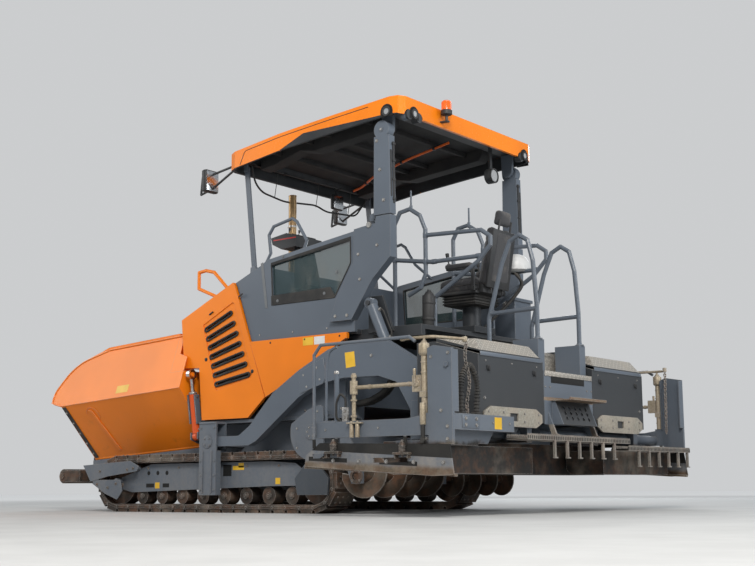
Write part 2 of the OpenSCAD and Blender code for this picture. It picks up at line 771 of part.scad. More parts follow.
// Serrated step from its rear face at back: a channel with toothed walls and six tines under it.
module serrated_step(back, z, y0, y1, tines_from) {
    count = floor((y1 - y0) / tooth_pitch);
    teeth = [for (i = [0 : count - 1], k = tooth_line) [y0 + (i + k[0]) * tooth_pitch, z + k[1]]];
    block([back + 8, y0, z], [step_front - 8, y1, z + step_t]);
    for (x = [back, step_front - 8])
        slab_x(x, 8, concat([[y0, z + 32]], teeth, [[y1, z + 32], [y1, z - 4], [y0, z - 4]]));
    for (i = [0 : 5]) {
        y = tines_from - i * tine_step;
        slab([[back + 9, z], [back + 9, z - 138], [back + tine_reach, z - 142], [back + tine_reach, z - 150],
            [back, z - 150], [back, z - 3]], y - 14, y + 14);
    }
}
riser_foot = [-3025, 770];
riser_head = [-2945, 980];

// Middle way up to the platform, with the serrated step across the basic screed.
module screed_steps() {
    rise = riser_head - riser_foot;
    color(steel_grey) {
        slab([[-2300, 620 + gap], [-2300, 1470], [-2560, 1470], [-2560, 1240], [-2915, 1240], [-2915, 770],
            [-2900, 770], [-2900, 795], [-2450, 795], [-2450, 620 + gap]], -cover_in + 10, cover_in - 10);
        both() block([-2860, 320, 1240], [-2600, 430, 1530]);
        both() slab([[-2914, riser_head[1]], riser_head, riser_foot, [-2914, riser_foot[1]]], 300, 312);
        // Perforated riser, leaning out at its foot.
        translate([riser_foot[0], 0, riser_foot[1]]) rotate([0, atan2(rise[0], rise[1]), 0]) difference() {
            block([0, -302, 0], [8, 302, norm(rise) + 6]);
            for (i = [-2 : 2], z = [60, 110, 160])
                cross_bar(-1, [i * 100, z], 18, 10);
        }
    }
    color(worn_steel) {
        // Folded tread with its turned-up rear lip.
        slab([[-2914, 990], [-3100, 990], [-3110, 1005], [-3118, 1005], [-3118, 984], [-3112, 980],
            [-2914, 980]], -330, 330);
        serrated_step(rear_x, step_low, step_mid, 1150, tines_from = 700);
        both() slab([[-2914, 880], [-2914, 772], [-2964, step_low + 2], [-3120, step_low + 2],
            [-3120, step_low + 12], [-2990, 690]], 360, 380);
    }
}

module screed_hoops() {
    foot = rail_d * 0.1 + gap;
    color(steel_grey) both() {
        rail([[-2320, 380, 1470 + foot], [-2320, 380, 1750], [-2470, 380, 2250], [-2560, 380, 2450],
            [-2660, 380, 2500], [-2750, 380, 2440], [-2800, 380, 2250], [-2830, 380, 1850],
            [-2830, 380, 1530 + foot]]);
        rail([[-2330, 380, 1800], [-2825, 380, 1810]]);
    }
}

beam_z = 674;

// Outboard part of the screed that slides out behind the basic screed.
module extension(tube_x) {
    in = end_y - 61;
    out = end_y - 30;
    slab([[-2505, sole_z + 50], [-2540, sole_z + 10], [-2590, sole_z], [-2900, sole_z], [-2900, 561],
        [-2505, 561]], 640, end_y - 100);
    bar_y(tube_x, guide_z, guide_r, -300, end_y - 60);
    slab([[-1700, 640], [-1700, 770], [-2640, 770], [-2760, 788], [-2760, 806], [-2840, 806],
        [-2840, 1310], [-2900, 1330], [-3070, 1300], [-3070, 560], [-2845, 560], [-2845, 635]], in, out);
    // Turned-in flanges of the end frame.
    block([-2640, in - 40, 640], [-1700, in + 1, 652]);
    block([-2852, in - 20, 800], [-2840, in + 1, 1300]);
    block([-3070, in - 60, 810], [-3058, in + 1, 1290]);
    block([-2900, 1560, 560], [-2505, end_y - 60, 600]);
}
module extension_left() {
    color(steel_grey) {
        extension(tube_at[0]);
        // Box beam with the flange that drops to the sole's carrier.
        block([-3058, 1560, beam_z], [-2940, end_y - 60, 800]);
        block([-2952, 1560, 575], [-2940, end_y - 60, beam_z + 1]);
        block([-2952, 1560, 560], [-2899, end_y - 60, 576]);
        slab_x(-2952, 12, [[1180, beam_z], [1180, 800], [1561, 800], [1561, 575], [1420, 575],
            [1330, beam_z]]);
        block([-3058, 1180, beam_z], [-2951, 1561, 800]);
    }
}
module extension_right() {
    color(steel_grey) mirror([0, 1, 0]) extension(tube_at[1]);
    color(worn_steel) {
        serrated_step(rear_x + step_inset, step_low - 60, -end_y + 62, step_mid - 20, tines_from = -930);
        block([step_front - 9, -end_y + 62, step_low - 60], [-2899, -1560, step_low - 60 + step_t]);
    }
}

spring_at = [-1915, -2615];

// Side plate of the mat with its sprung shoe, lugs and guard rail.
module end_plate() {
    y = end_y - 30;
    difference() {
        slab([[-1585, 410], [-1600, 500], [-1750, 600], [-3050, 560], [-3085, 330], [-2900, 320]],
            y + gap, y + 14);
        for (at = [[-1860, 475, 190], [-2650, 430, 340]])
            block([at[0], y, at[1]], [at[0] + at[2], y + 15, at[1] + 38]);
    }
    for (x = spring_at) {
        block([x - 60, y - 34, 500], [x + 60, y + gap + 1, 512]);
        translate([x, y - 6, 511]) cylinder(r = 14, h = 124 - gap);
        translate([x, y - 6, 535]) cylinder(r1 = 20, r2 = 15, h = 50);
    }
    slab([[-1570, 395], [-1570, 415], [-3085, 335], [-3085, 315]], y - 36, y + gap);
    rail([[-1690, y + 15, 560], [-1690, y + 15, 1330], [-1760, y + 15, 1410], [-2680, y + 15, 1410],
        [-2735, y + 15, 1372]], d = 28);
}
module end_plate_left() {
    color(steel_grey) end_plate();
}
module end_plate_right() {
    color(steel_grey) mirror([0, 1, 0]) end_plate();
}

// Spindles and cross shaft that set the height of an end plate.
module height_gear() {
    y = end_y - 46;
    front = -2090;
    rear = -2800;
    translate([rear, y, 806 + gap]) cylinder(r = 24, h = 550);
    translate([rear, y, 1290]) cylinder(r = 30, h = 68);
    block([rear - 30, y - 26, 930], [rear + 30, y + 26, 975]);
    block([rear + 22, y - 28, 975], [rear + 105, y + 20, 1105]);
    cross_bar(rear + 100, [y, 1040], 16, front - rear - 90);
    translate([front, y, 770 + gap]) cylinder(r = 17, h = 360);
    translate([front, y, 985]) cylinder(r = 32, h = 110);
    translate([front, y, 1120]) cylinder(r = 24, h = 26);
}
module height_gear_left() {
    color(dusty_metal) height_gear();
}
module height_gear_right() {
    color(dusty_metal) mirror([0, 1, 0]) height_gear();
}

lift_top = [-1500, 1900];
lift_low = [-1780, 1290];

// Cylinders that raise the screed on its arms, at rest fully shut.
module lift_barrels() {
    v = lift_low - lift_top;
    turn = atan2(v[0], v[1]);
    color(steel_grey) both() translate([lift_top[0], lift_y, lift_top[1]]) rotate([0, turn, 0]) difference() {
        union() {
            translate([0, 0, 30]) cylinder(r = 52, h = 400);
            rotate([90, 0, 0]) translate([0, 0, -40]) cylinder(r = 48, h = 80);
        }
        rotate([90, 0, 0]) translate([0, 0, -60]) cylinder(r = pin_r + gap, h = 120);
        translate([0, 0, 90]) cylinder(r = 28 + gap, h = 400);
    }
}
module lift_rods() {
    v = lift_low - lift_top;
    turn = atan2(v[0], v[1]);
    len = norm(v);
    color(bright_steel) both() translate([lift_top[0], lift_y, lift_top[1]])
        rotate([0, turn, 0]) difference() {
        union() {
            translate([0, 0, 150]) cylinder(r = 28, h = len - 150 - 30);
            translate([0, 0, len]) rotate([90, 0, 0]) translate([0, 0, -35]) cylinder(r = 44, h = 70);
        }
        translate([0, 0, len]) rotate([90, 0, 0]) translate([0, 0, -60]) cylinder(r = pin_r + 5, h = 120);
    }
}

seat_x = -1880;
seat_y = 0;

module seat_base() {
    color(charcoal) {
        block([seat_x - 150, seat_y - 180, floor_z + gap], [seat_x + 150, seat_y + 180, floor_z + 60]);
        translate([seat_x, seat_y, floor_z + 60]) cylinder(r = 90, h = 200);
    }
}
module seat() {
    color(charcoal) translate([seat_x, seat_y, floor_z + 260 + gap]) {
        block([-200, -230, 0], [230, 230, 120]);
        block([-230, -240, 120], [250, 240, 260]);
        rotate([0, -10, 0]) block([-270, -220, 200], [-150, 220, 800]);
        rotate([0, -10, 0]) block([-270, -130, 800], [-180, 130, 960]);
        for (y = [-290, 240]) block([-200, y, 330], [120, y + 50, 380]);
        for (y = [-290, 240]) block([-220, y, 120], [-170, y + 50, 380]);
    }
}

post_top = [-1680, roof_z - 290];

// Rear posts of the canopy, hinged on the arches' pins.
module rear_posts() {
    color(steel_grey) both() difference() {
        union() {
            slab([[-1585, fold_z], [-1595, post_top[1] - 60], [-1765, post_top[1] - 60], [-1775, fold_z]],
                side_in + 2, post_out);
            bar_y(post_top[0], post_top[1], 85, side_in + 2, post_out);
            slab([[fold_x - 60, fold_z], [fold_x - 60, fold_z + 120], [fold_x - 30, fold_z + 50],
                [fold_x + 45, fold_z + 30], [fold_x + 50, fold_z - 25], [fold_x - 40, fold_z - 45]],
                side_in + 2, side_in + 20);
        }
        bar_y(fold_x, fold_z, pin_r + gap, side_in, post_out + 1);
        bar_y(post_top[0], post_top[1], pin_r + gap, side_in, post_out + 1);
    }
}

roof_front = roof_rear + roof_len;
roof_line = [[roof_rear, roof_z], [-1095, roof_z - 60], [-455, roof_z - 115], [roof_front, roof_z - 210]];

// Plan of the roof, in by t from its edge.
function roof_plan(t) =
    let (x0 = roof_rear + t, x1 = roof_front - t, y = roof_half - t, c = roof_corner - 0.4 * t)
    [[x0, c - y], [x0 + c * 0.3, 0.3 * c - y], [x0 + c, -y], [x1 - c, -y], [x1 - c * 0.3, 0.3 * c - y],
        [x1, c - y], [x1, y - c], [x1 - c * 0.3, y - 0.3 * c], [x1 - c, y], [x0 + c, y],
        [x0 + c * 0.3, y - 0.3 * c], [x0, y - c]];
roof_corner = 110;
lamp_y = [-935, 880, 1030];

// Roof shell: a crowned skin with a deep rim, open below.
module roof_shell() {
    low = [for (i = [3 : -1 : 0]) roof_line[i] - [0, rim_d]];
    color(orange) difference() {
        intersection() {
            slab(concat(roof_line, low), -roof_half, roof_half);
            linear_extrude(5000) polygon(roof_plan(0));
        }
        intersection() {
            slab(concat([for (p = roof_line) p - [0, roof_t]],
                [for (i = [3 : -1 : 0]) roof_line[i] - [0, rim_d + 40]]),
                -roof_half + roof_t, roof_half - roof_t);
            linear_extrude(5000) polygon(roof_plan(roof_t));
        }
        // Notches in the rear rim, one over each lamp.
        for (y = lamp_y) cross_bar(roof_rear - 1, [y, roof_z - rim_d - 12], 68, roof_t + 20);
    }
}

front_top = [roof_front - 95, roof_z - 340];
front_low = [60, 2395];
post_pin_r = 12;

// Height of the roof's top surface at x.
function roof_at(x) = lookup(x, roof_line);

// A beam across the roof's inside from x0 to x1, its underside at z.
module roof_beam(x0, x1, z) {
    under = roof_t + gap;
    half = platform_half + 20;
    slab([[x0, roof_at(x0) - under], [x0, z], [x1, z], [x1, roof_at(x1) - under]], -half, half);
}

// Beams, pin cheeks and beacon of the roof.
module roof_fittings() {
    color(steel_grey) both() {
        slab([[post_top[0] + 70, roof_z - 60], [post_top[0] + 60, post_top[1]],
            [post_top[0] + 20, post_top[1] - 40], [post_top[0] - 20, post_top[1] - 40],
            [post_top[0] - 60, post_top[1]], [post_top[0] - 70, roof_z - 60]], side_in - 41, side_in - 5);
        bar_y(post_top[0], post_top[1], pin_r, side_in - 6, post_out + 5);
        block([front_top[0] - 25, platform_half + 3, front_top[1] - 25],
            [front_top[0] + 25, platform_half + 15, roof_at(0) - 100]);
    }
    color(charcoal) {
        roof_beam(-1760, -1600, roof_z - 90);
        roof_beam(front_top[0] - 45, front_top[0] + 25, roof_z - 280);
        // Lamps in the rim's notches, each on its bracket under the skin.
        for (y = lamp_y) {
            cross_bar(roof_rear - 6, [y, roof_z - rim_d + 4], 46, 70);
            slab([[roof_rear + 40, roof_z - rim_d], [roof_rear + 40, roof_at(roof_rear + 40) - roof_t - gap],
                [roof_rear + 60, roof_at(roof_rear + 60) - roof_t - gap], [roof_rear + 60, roof_z - rim_d]],
                y - 12, y + 12);
        }
        // Work light behind the right post.
        cross_bar(-1740, [-670, roof_z - 390], 78, 70);
        block([-1710, -690, roof_z - 320], [-1690, -650, roof_z - 89]);
        // Base of the beacon on its bracket.
        block([beacon_x - 20, beacon_y - 22, roof_z - 130], [roof_rear - gap, beacon_y + 22, roof_z - 118]);
        translate([beacon_x, beacon_y, roof_z - 119]) cylinder(r = 14, h = 80);
        translate([beacon_x, beacon_y, roof_z - 60]) cylinder(r = 50, h = 40);
    }
    color("darkorange") translate([beacon_x, beacon_y, roof_z - 21]) cylinder(r = 44, h = 90);
}

beacon_x = roof_rear - 62;
beacon_y = 515;

mirror_tube = 24;

// Mirrors on their tube frames before the roof's front corners.
module mirrors() {
    y = roof_half - roof_corner - 20;
    from = roof_front + mirror_tube * 0.1 + gap;
    top = roof_z - 300;
    color(charcoal) both() {
        rail([[from, y, top], [from + 40, y, top], [600, y, top - 40], [750, y, top - 50],
            [770, y, top - 230], [600, y, top - 190], [from + 40, y, top - 52], [from, y, top - 52]],
            d = mirror_tube);
        intersection() {
            block([625, y - 95, top - 225], [665, y + 95, top + 10]);
            cross_bar(600, [y, top - 110], 140, 80);
        }
    }
}

// Slim struts between scuttle and roof that lie down with the canopy.
module front_posts() {
    v = front_top - front_low;
    turn = atan2(v[0], v[1]);
    len = norm(v);
    color(steel_grey) both() translate([front_low[0], platform_half - 18, front_low[1]])
        rotate([0, turn, 0]) difference() {
        union() {
            block([-30, 2, 0], [30, 18, len]);
            for (z = [0, len]) translate([0, 2, z]) rotate([-90, 0, 0]) cylinder(r = 34, h = 16);
            translate([0, 18, len]) rotate([-90, 0, 0]) cylinder(r = post_pin_r, h = 3 - gap);
        }
        rotate([-90, 0, 0]) cylinder(r = post_pin_r + gap, h = 50);
    }
}

// Exhaust pipe, hinged at its foot so that it can lie down under the folded canopy.
module exhaust_pipe() {
    color("tan") difference() {
        union() {
            translate([exhaust_x, exhaust_y, exhaust_foot]) cylinder(r = 42, h = exhaust_len);
            slab([[exhaust_x + 30, exhaust_foot], [exhaust_x + 55, exhaust_foot], [stack_x - 10, stack_z - 12],
                [stack_x + 12, stack_z - 12], [stack_x + 12, stack_z + 12], [exhaust_x + 38, exhaust_foot + 60]],
                exhaust_y - 15, exhaust_y + 15);
        }
        translate([exhaust_x, exhaust_y, exhaust_foot + 60]) cylinder(r = 36, h = exhaust_len);
        bar_y(stack_x, stack_z, 8 + gap, exhaust_y - 16, exhaust_y + 16);
    }
}

chassis_frame();
track_frames();
track_left();
track_right();
track_wheels();
conveyors();
engine_block();
tow_guides();
hood_cover();
hood_rear_panels();
cabin_sides();
cabin_glass();
scuttle();
platform_deck();
rear_arches();
platform_rails();
auger_frame();
hood_door_left();
hood_door_right();
wing_left();
wing_right();
wing_barrel_left();
wing_barrel_right();
wing_rod_left();
wing_rod_right();
push_bar();
push_roller_left();
push_roller_right();
auger_left();
auger_right();
screed_arms();
screed_base();
screed_covers();
screed_steps();
screed_hoops();
extension_left();
extension_right();
end_plate_left();
end_plate_right();
height_gear_left();
height_gear_right();
lift_barrels();
lift_rods();
seat_base();
seat();
rear_posts();
roof_shell();
front_posts();
exhaust_pipe();
roof_fittings();
mirrors();
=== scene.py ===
"""Looks of a tracked asphalt paver: finishes, fittings, soft goods, camera and light."""

import math

import bmesh
import bpy
from bpy.props import FloatProperty, FloatVectorProperty, PointerProperty
from bpy.types import Operator, Panel, PropertyGroup
from mathutils import Matrix, Vector


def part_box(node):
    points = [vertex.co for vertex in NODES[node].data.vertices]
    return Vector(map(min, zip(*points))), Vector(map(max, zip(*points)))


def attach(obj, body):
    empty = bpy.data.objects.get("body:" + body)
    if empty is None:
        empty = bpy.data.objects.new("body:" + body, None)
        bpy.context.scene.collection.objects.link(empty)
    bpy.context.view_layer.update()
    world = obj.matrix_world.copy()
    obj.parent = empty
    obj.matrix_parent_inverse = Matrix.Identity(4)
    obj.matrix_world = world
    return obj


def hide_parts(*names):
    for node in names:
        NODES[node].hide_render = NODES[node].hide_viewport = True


bl_info = {
    "name": "Asphalt paver dressing",
    "version": (1, 0, 0),
    "blender": (4, 5, 0),
    "location": "3D View > Sidebar > Paver",
    "description": "Finishes and fittings of a tracked asphalt paver",
    "category": "Add Mesh",
}

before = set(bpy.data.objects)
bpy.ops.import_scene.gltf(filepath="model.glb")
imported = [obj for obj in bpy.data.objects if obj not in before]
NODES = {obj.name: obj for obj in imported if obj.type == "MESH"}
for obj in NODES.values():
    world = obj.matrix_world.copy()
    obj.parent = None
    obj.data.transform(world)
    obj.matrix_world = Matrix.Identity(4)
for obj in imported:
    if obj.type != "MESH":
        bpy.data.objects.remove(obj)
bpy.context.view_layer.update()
ROOF_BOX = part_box("roof_shell")
ROOF_TOP = ROOF_BOX[1][2]
ROOF_HALF = ROOF_BOX[1][1]
ROOF_MID = (ROOF_BOX[0][0] + ROOF_BOX[1][0]) / 2
ROOF_LONG = (ROOF_BOX[1][0] - ROOF_BOX[0][0]) / 2
# Between the grey panels and the orange ones that are bolted over them.
SHELF_Y = 1.0848


# Finishes
class Signal:
    """A value over the surface. Arithmetic on it adds Math nodes."""

    def __init__(self, finish, socket):
        self.finish = finish
        self.socket = socket

    def math(self, operation, first, second=0.0, clamp=False):
        return self.finish.add(
            "ShaderNodeMath", {"operation": operation, "use_clamp": clamp}, {0: first, 1: second}
        )

    def __add__(self, other):
        return self.math("ADD", self, other)

    def __radd__(self, other):
        return self.math("ADD", other, self)

    def __sub__(self, other):
        return self.math("SUBTRACT", self, other)

    def __rsub__(self, other):
        return self.math("SUBTRACT", other, self)

    def __mul__(self, other):
        return self.math("MULTIPLY", self, other)

    def __rmul__(self, other):
        return self.math("MULTIPLY", other, self)

    def __truediv__(self, other):
        return self.math("DIVIDE", self, other)

    def __rtruediv__(self, other):
        return self.math("DIVIDE", other, self)

    def __gt__(self, other):
        return self.math("GREATER_THAN", self, other)

    def __lt__(self, other):
        return self.math("LESS_THAN", self, other)

    def __abs__(self):
        return self.math("ABSOLUTE", self)

    def part(self):
        """The fraction of the value, so that a pattern repeats."""
        return self.math("FRACT", self)

    def most(self, other):
        return self.math("MAXIMUM", self, other)

    def limited(self):
        return self.math("ADD", self, 0.0, clamp=True)

    def rise(self, low, high):
        """0 below low, 1 above high and smooth between them."""
        return self.finish.add(
            "ShaderNodeMapRange", {"interpolation_type": "SMOOTHSTEP"}, {0: self, 1: low, 2: high}
        )


class Finish:
    """One material, built from nodes."""

    def __init__(self, name):
        self.material = bpy.data.materials.new(name)
        self.material.use_nodes = True
        self.tree = self.material.node_tree
        self.tree.nodes.clear()
        self.output = self.tree.nodes.new("ShaderNodeOutputMaterial")
        self.place = self.add("ShaderNodeTexCoord", output="Object")

    def add(self, kind, settings=None, values=None, output=0):
        """Any node: its settings first, then the values or links of its sockets."""
        node = self.tree.nodes.new(kind)
        for key, value in (settings or {}).items():
            if key == "stops":
                ramp = node.color_ramp
                while len(ramp.elements) < len(value):
                    ramp.elements.new(1.0)
                for element, (at, colour) in zip(ramp.elements, value):
                    element.position = at
                    element.color = (*colour, 1.0)
            else:
                setattr(node, key, value)
        for key, value in (values or {}).items():
            socket = node.inputs[key]
            if isinstance(value, Signal):
                self.tree.links.new(value.socket, socket)
            elif hasattr(value, "__len__") and len(value) == 3 and socket.type == "RGBA":
                socket.default_value = (*value, 1.0)
            else:
                socket.default_value = value
        return Signal(self, node.outputs[output])

    def noise(self, scale, detail=3.0, rough=0.55, stretch=None):
        place = self.place
        if stretch:
            place = self.add("ShaderNodeMapping", {}, {"Vector": place, "Scale": stretch})
        return self.add(
            "ShaderNodeTexNoise", {}, {"Vector": place, "Scale": scale, "Detail": detail, "Roughness": rough}
        )

    def axes(self):
        """The Object coordinates as three values."""
        return [self.add("ShaderNodeSeparateXYZ", {}, {0: self.place}, k) for k in range(3)]

    def facing(self):
        """The outward direction as three values."""
        normal = self.add("ShaderNodeNewGeometry", output="Normal")
        return [self.add("ShaderNodeSeparateXYZ", {}, {0: normal}, k) for k in range(3)]

    def edge(self, width):
        """Near 1 along outer edges, 0 on flat faces."""
        rounded = self.add("ShaderNodeBevel", {"samples": 4}, {"Radius": width})
        normal = self.add("ShaderNodeNewGeometry", output="Normal")
        along = self.add(
            "ShaderNodeVectorMath", {"operation": "DOT_PRODUCT"}, {0: rounded, 1: normal}, "Value"
        )
        return (1.0 - along) * 5.0

    def mix(self, share, first, second):
        """From the first colour to the second."""
        return self.add(
            "ShaderNodeMix", {"data_type": "RGBA"}, {0: share, 6: first, 7: second}, 2
        )

    def finish(self, layer, constants):
        """Closes the material: a layer's signals on one shader, its fixed values beside them."""
        tone, rough, metal, height = layer[:4]
        bump = self.add("ShaderNodeBump", {}, {"Height": height, "Distance": 1.0})
        values = {"Base Color": tone, "Roughness": rough, "Metallic": metal, "Normal": bump, **constants}
        if len(layer) > 4:
            values["Alpha"] = layer[4]
        if len(layer) > 5:
            values["Emission Color"] = layer[5]
        shader = self.add("ShaderNodeBsdfPrincipled", {}, values)
        self.tree.links.new(shader.socket, self.output.inputs[0])
        return self.material


DUST = (0.36, 0.31, 0.25)
TREAD = (0.56, 0.52, 0.46)
# Near-black dried mix, darkened further as painted shade of the screed's underside.
CRUST_AND_SHADE = (0.030, 0.026, 0.023)
RUBBED = (0.42, 0.39, 0.36)
BARE_STEEL = (0.32, 0.30, 0.28)
RUST = (0.16, 0.075, 0.04)
TAR = (0.012, 0.011, 0.010)


def shade(colour, by):
    return tuple(c * by for c in colour)


# A layer is (tone, roughness, metallic, height in metres), some with an alpha and an emission colour.
def over(f, mask, low, high):
    """Joins two layers: the second stands where the mask is 1."""
    tone = f.mix(mask, low[0], high[0])
    rest = [low[k] * (1.0 - mask) + high[k] * mask for k in (1, 2, 3)]
    return (tone, *rest)


def paint(f, colour, rough=0.36, grime=0.3, chips=0.6, tar=0.0, low=1.5):
    """Enamel on steel: broad tone, dust low down and on top faces, chipped edges, tar spots."""
    cloud = f.noise(0.9, 3)
    speck = f.noise(34, 6, 0.65)
    streak = f.noise(5, 4, 0.6, (1.0, 1.0, 0.22))
    z = f.axes()[2]
    up = f.facing()[2]
    settled = (1.0 - z.rise(0.1, low)) * 0.7 + up.rise(0.35, 0.95) * 0.6
    dust = (settled * grime * (speck.rise(0.3, 0.8) * 0.5 + streak.rise(0.3, 0.8) * 0.7)).limited()
    soil = tuple(0.35 * c + 0.65 * d for c, d in zip(colour, DUST))
    worn = (f.edge(0.007) + speck * 0.5 - 0.25).rise(0.25, 0.42) * chips
    tone = f.mix(cloud.rise(0.35, 0.68), shade(colour, 0.86), colour)
    tone = f.mix(dust, tone, soil)
    tone = f.mix(worn, tone, BARE_STEEL)
    if tar:
        spot = (f.noise(7, 6, 0.75).rise(0.54, 0.80) * (1.0 - z.rise(0.3, low)) * tar).limited()
        tone = f.mix(spot, tone, TAR)
    return (
        tone,
        (dust * 0.5 + speck * 0.12 + (rough - 0.06)).limited(),
        worn * 0.7,
        (speck - worn * 0.6) * 0.0002,
    )


def steel(f, colour, rust=0.5, dust=0.4, rough=0.5, metal=0.8):
    """Bare steel that runs in the ground: bright rubbed edges, rust in patches, caked dust."""
    patch = f.noise(7, 6, 0.7)
    grain = f.noise(60, 6, 0.7)
    rub = (f.edge(0.008) + grain * 0.4 - 0.2).rise(0.2, 0.5)
    rusty = patch.rise(0.42, 0.62) * rust
    caked = f.noise(3.2, 5, 0.6).rise(0.45, 0.7) * dust
    tone = f.mix(grain.rise(0.3, 0.7), shade(colour, 0.6), colour)
    tone = f.mix(rusty, tone, RUST)
    tone = f.mix(caked, tone, DUST)
    tone = f.mix(rub * 0.7, tone, RUBBED)
    return (
        tone,
        (rusty * 0.3 + caked * 0.4 + grain * 0.25 + (rough - 0.15) - rub * 0.15).limited(),
        ((1.0 - caked) * (1.0 - rusty * 0.7) * metal).limited(),
        (grain + patch) * 0.0011,
    )


def chequer(f, colour, pitch=0.036):
    """Tread plate: raised lens-shaped bars, set left and right in turn."""
    x, y, z = f.axes()
    u = y / pitch
    v = (x + z) / pitch
    bars = []
    for shift, stretch in ((0.0, (1.3, 22.0)), (0.5, (22.0, 1.3))):
        along = (((u + v) * 0.5 + shift).part() - 0.5) * 2.0
        across = (((u - v) * 0.5 + shift).part() - 0.5) * 2.0
        bars.append(1.0 - (along * along * stretch[0] + across * across * stretch[1]))
    raised = bars[0].most(bars[1]).limited()
    grain = f.noise(70, 5, 0.7)
    smear = f.noise(4, 4).rise(0.42, 0.7)
    tone = f.mix(raised.rise(0.0, 0.35), shade(colour, 0.62), colour)
    tone = f.mix(smear * 0.45, tone, DUST)
    return (
        tone,
        (grain * 0.25 + smear * 0.1 + 0.36).limited(),
        0.35 - smear * 0.2,
        raised.rise(0.0, 0.5) * 0.0022 + grain * 0.00015,
    )


def moulded(f, colour, rough=0.55, grain=0.25, dust=0.2):
    """Plastic or rubber with a fine moulded grain and a dusty bloom."""
    fine = f.noise(160, 3)
    cloud = f.noise(5, 4)
    up = f.facing()[2]
    bloom = ((up.rise(0.2, 0.9) * 0.6 + 0.2) * cloud.rise(0.35, 0.75) * dust).limited()
    tone = f.mix(cloud.rise(0.3, 0.7), shade(colour, 0.8), colour)
    tone = f.mix(bloom, tone, DUST)
    return (tone, (bloom * 0.4 + fine * 0.2 + (rough - 0.1)).limited(), 0.0, fine * (0.0004 * grain))


def cloth(f, colour):
    """Woven cover with a faint lighter thread."""
    x, y, z = f.axes()
    weft = ((y * 420.0).part() - 0.5) * 2.0
    warp = (((x + z) * 420.0).part() - 0.5) * 2.0
    weave = (1.0 - weft * weft) * 0.5 + (1.0 - warp * warp) * 0.5
    wear = f.noise(6, 4)
    tone = f.mix(weave.rise(0.2, 0.9), shade(colour, 0.55), colour)
    tone = f.mix(wear.rise(0.5, 0.8) * 0.25, tone, DUST)
    return (tone, wear * 0.15 + 0.72, 0.0, weave * 0.00025)


def grille(f, colour, pitch=0.009):
    """Woven wire screen: bright crossings over dark gaps."""
    x, y, z = f.axes()
    wires = []
    for along in (x + z, x - z):
        wave = ((along / pitch).part() - 0.5) * 2.0
        wires.append((1.0 - wave * wave).rise(0.35, 0.8))
    wire = wires[0].most(wires[1])
    tone = f.mix(wire, shade(colour, 0.15), colour)
    return (tone, 0.65 - wire * 0.2, wire * 0.4, wire * 0.0012)


def lens(f, colour, pitch=0.012):
    """Moulded lamp lens with fine ribs."""
    rib = ((f.axes()[1] / pitch).part() - 0.5) * 2.0
    tone = f.mix(rib * rib, colour, shade(colour, 0.6))
    return (tone, rib * rib * 0.1 + 0.12, 0.0, (1.0 - rib * rib) * 0.0006)


def mottle(f, first, second):
    """Matt ground with a faint mottle, that brightens into the backdrop far away."""
    cloud = f.noise(1.6, 6, 0.6)
    x, y, z = f.axes()
    far = (x * x + y * y).rise(16.0, 300.0)
    glow = f.mix(far, (0.0, 0.0, 0.0), (0.37, 0.375, 0.38))
    return (f.mix(cloud.rise(0.3, 0.7), first, second), cloud * 0.1 + 0.85, 0.0, cloud * 0.0, 1.0, glow)


def pane(f, colour, alpha=0.28):
    """Thin tinted glass with wiped dust."""
    smear = f.noise(3.5, 5, 0.6, (1.0, 1.0, 0.4))
    tone = f.mix(smear.rise(0.5, 0.8) * 0.3, colour, DUST)
    return (tone, smear.rise(0.45, 0.8) * 0.18 + 0.03, 0.0, smear * 0.0, smear.rise(0.5, 0.85) * 0.15 + alpha)


# Nodes of one mesh whose parts differ: a mask by place or by direction sets the second layer over the first.
def grey_over_orange(f, orange, grey):
    out = abs(f.axes()[1]) > SHELF_Y
    return over(f, out, paint(f, grey, 0.38, 0.25, 0.4), paint(f, orange, 0.30, 0.10, 0.25))


def soiled_and_shaded(f, colour, level, crust_and_shade):
    """Enamel above a level, and below it dark steel caked with dried mix, near black also as painted shade of
    the underside.
    """
    z = f.axes()[2]
    low = (level - z + (f.noise(6, 5, 0.7) - 0.5) * 0.12).rise(-0.02, 0.03)
    return over(f, low, paint(f, colour, 0.42, 0.45, 0.6, 0.25, 1.2), steel(f, crust_and_shade, 0.35, 0.35, 0.75, 0.25))


def end_plate(f, grey):
    """Grey rail and plate, a near-black band and openings painted as the shade of the recess where the
    springs stand, and the brown shoe under them.
    """
    x, y, z = f.axes()
    # Painted shade: a band under the flank's edge and openings beside the springs are near black, as the
    # recess there lies in shade.
    band_shade = (z > x * 0.0645 + 0.6497) * (z < 0.63)
    down = x * 0.055 + 0.6238 - z
    lengths = ((x > -2.04) * (x < -1.63)).most((x > -2.743) * (x < -2.37))
    opening_shade = (down > 0.042) * (down < 0.077) * (abs(y) > 2.095) * lengths
    shoe = (down - 0.075 + (f.noise(9, 5, 0.7) - 0.5) * 0.06).rise(-0.02, 0.03)
    layer = over(
        f, shoe, paint(f, grey, 0.42, 1.6, 0.6, 0.3, 1.2), steel(f, (0.17, 0.13, 0.09), 0.4, 0.6, 0.7, 0.3)
    )
    return over(f, band_shade.most(opening_shade), layer, moulded(f, (0.008, 0.008, 0.008), 0.8))


def wheels(f, cover):
    """Rollers and idlers in near-black brown steel, darkened as painted shade under the track frame, and the
    painted cover of the sprocket.
    """
    x, y, z = f.axes()
    painted = (x < -0.6) * (abs(y) > 1.16)
    # Painted shade: the rollers' steel is darkened as they lie under the track frame.
    return over(
        f, painted, steel(f, (0.055, 0.045, 0.038), 0.5, 0.4, 0.6, 0.4),
        paint(f, cover, 0.42, 0.15, 0.4, 0.2, 0.8)
    )


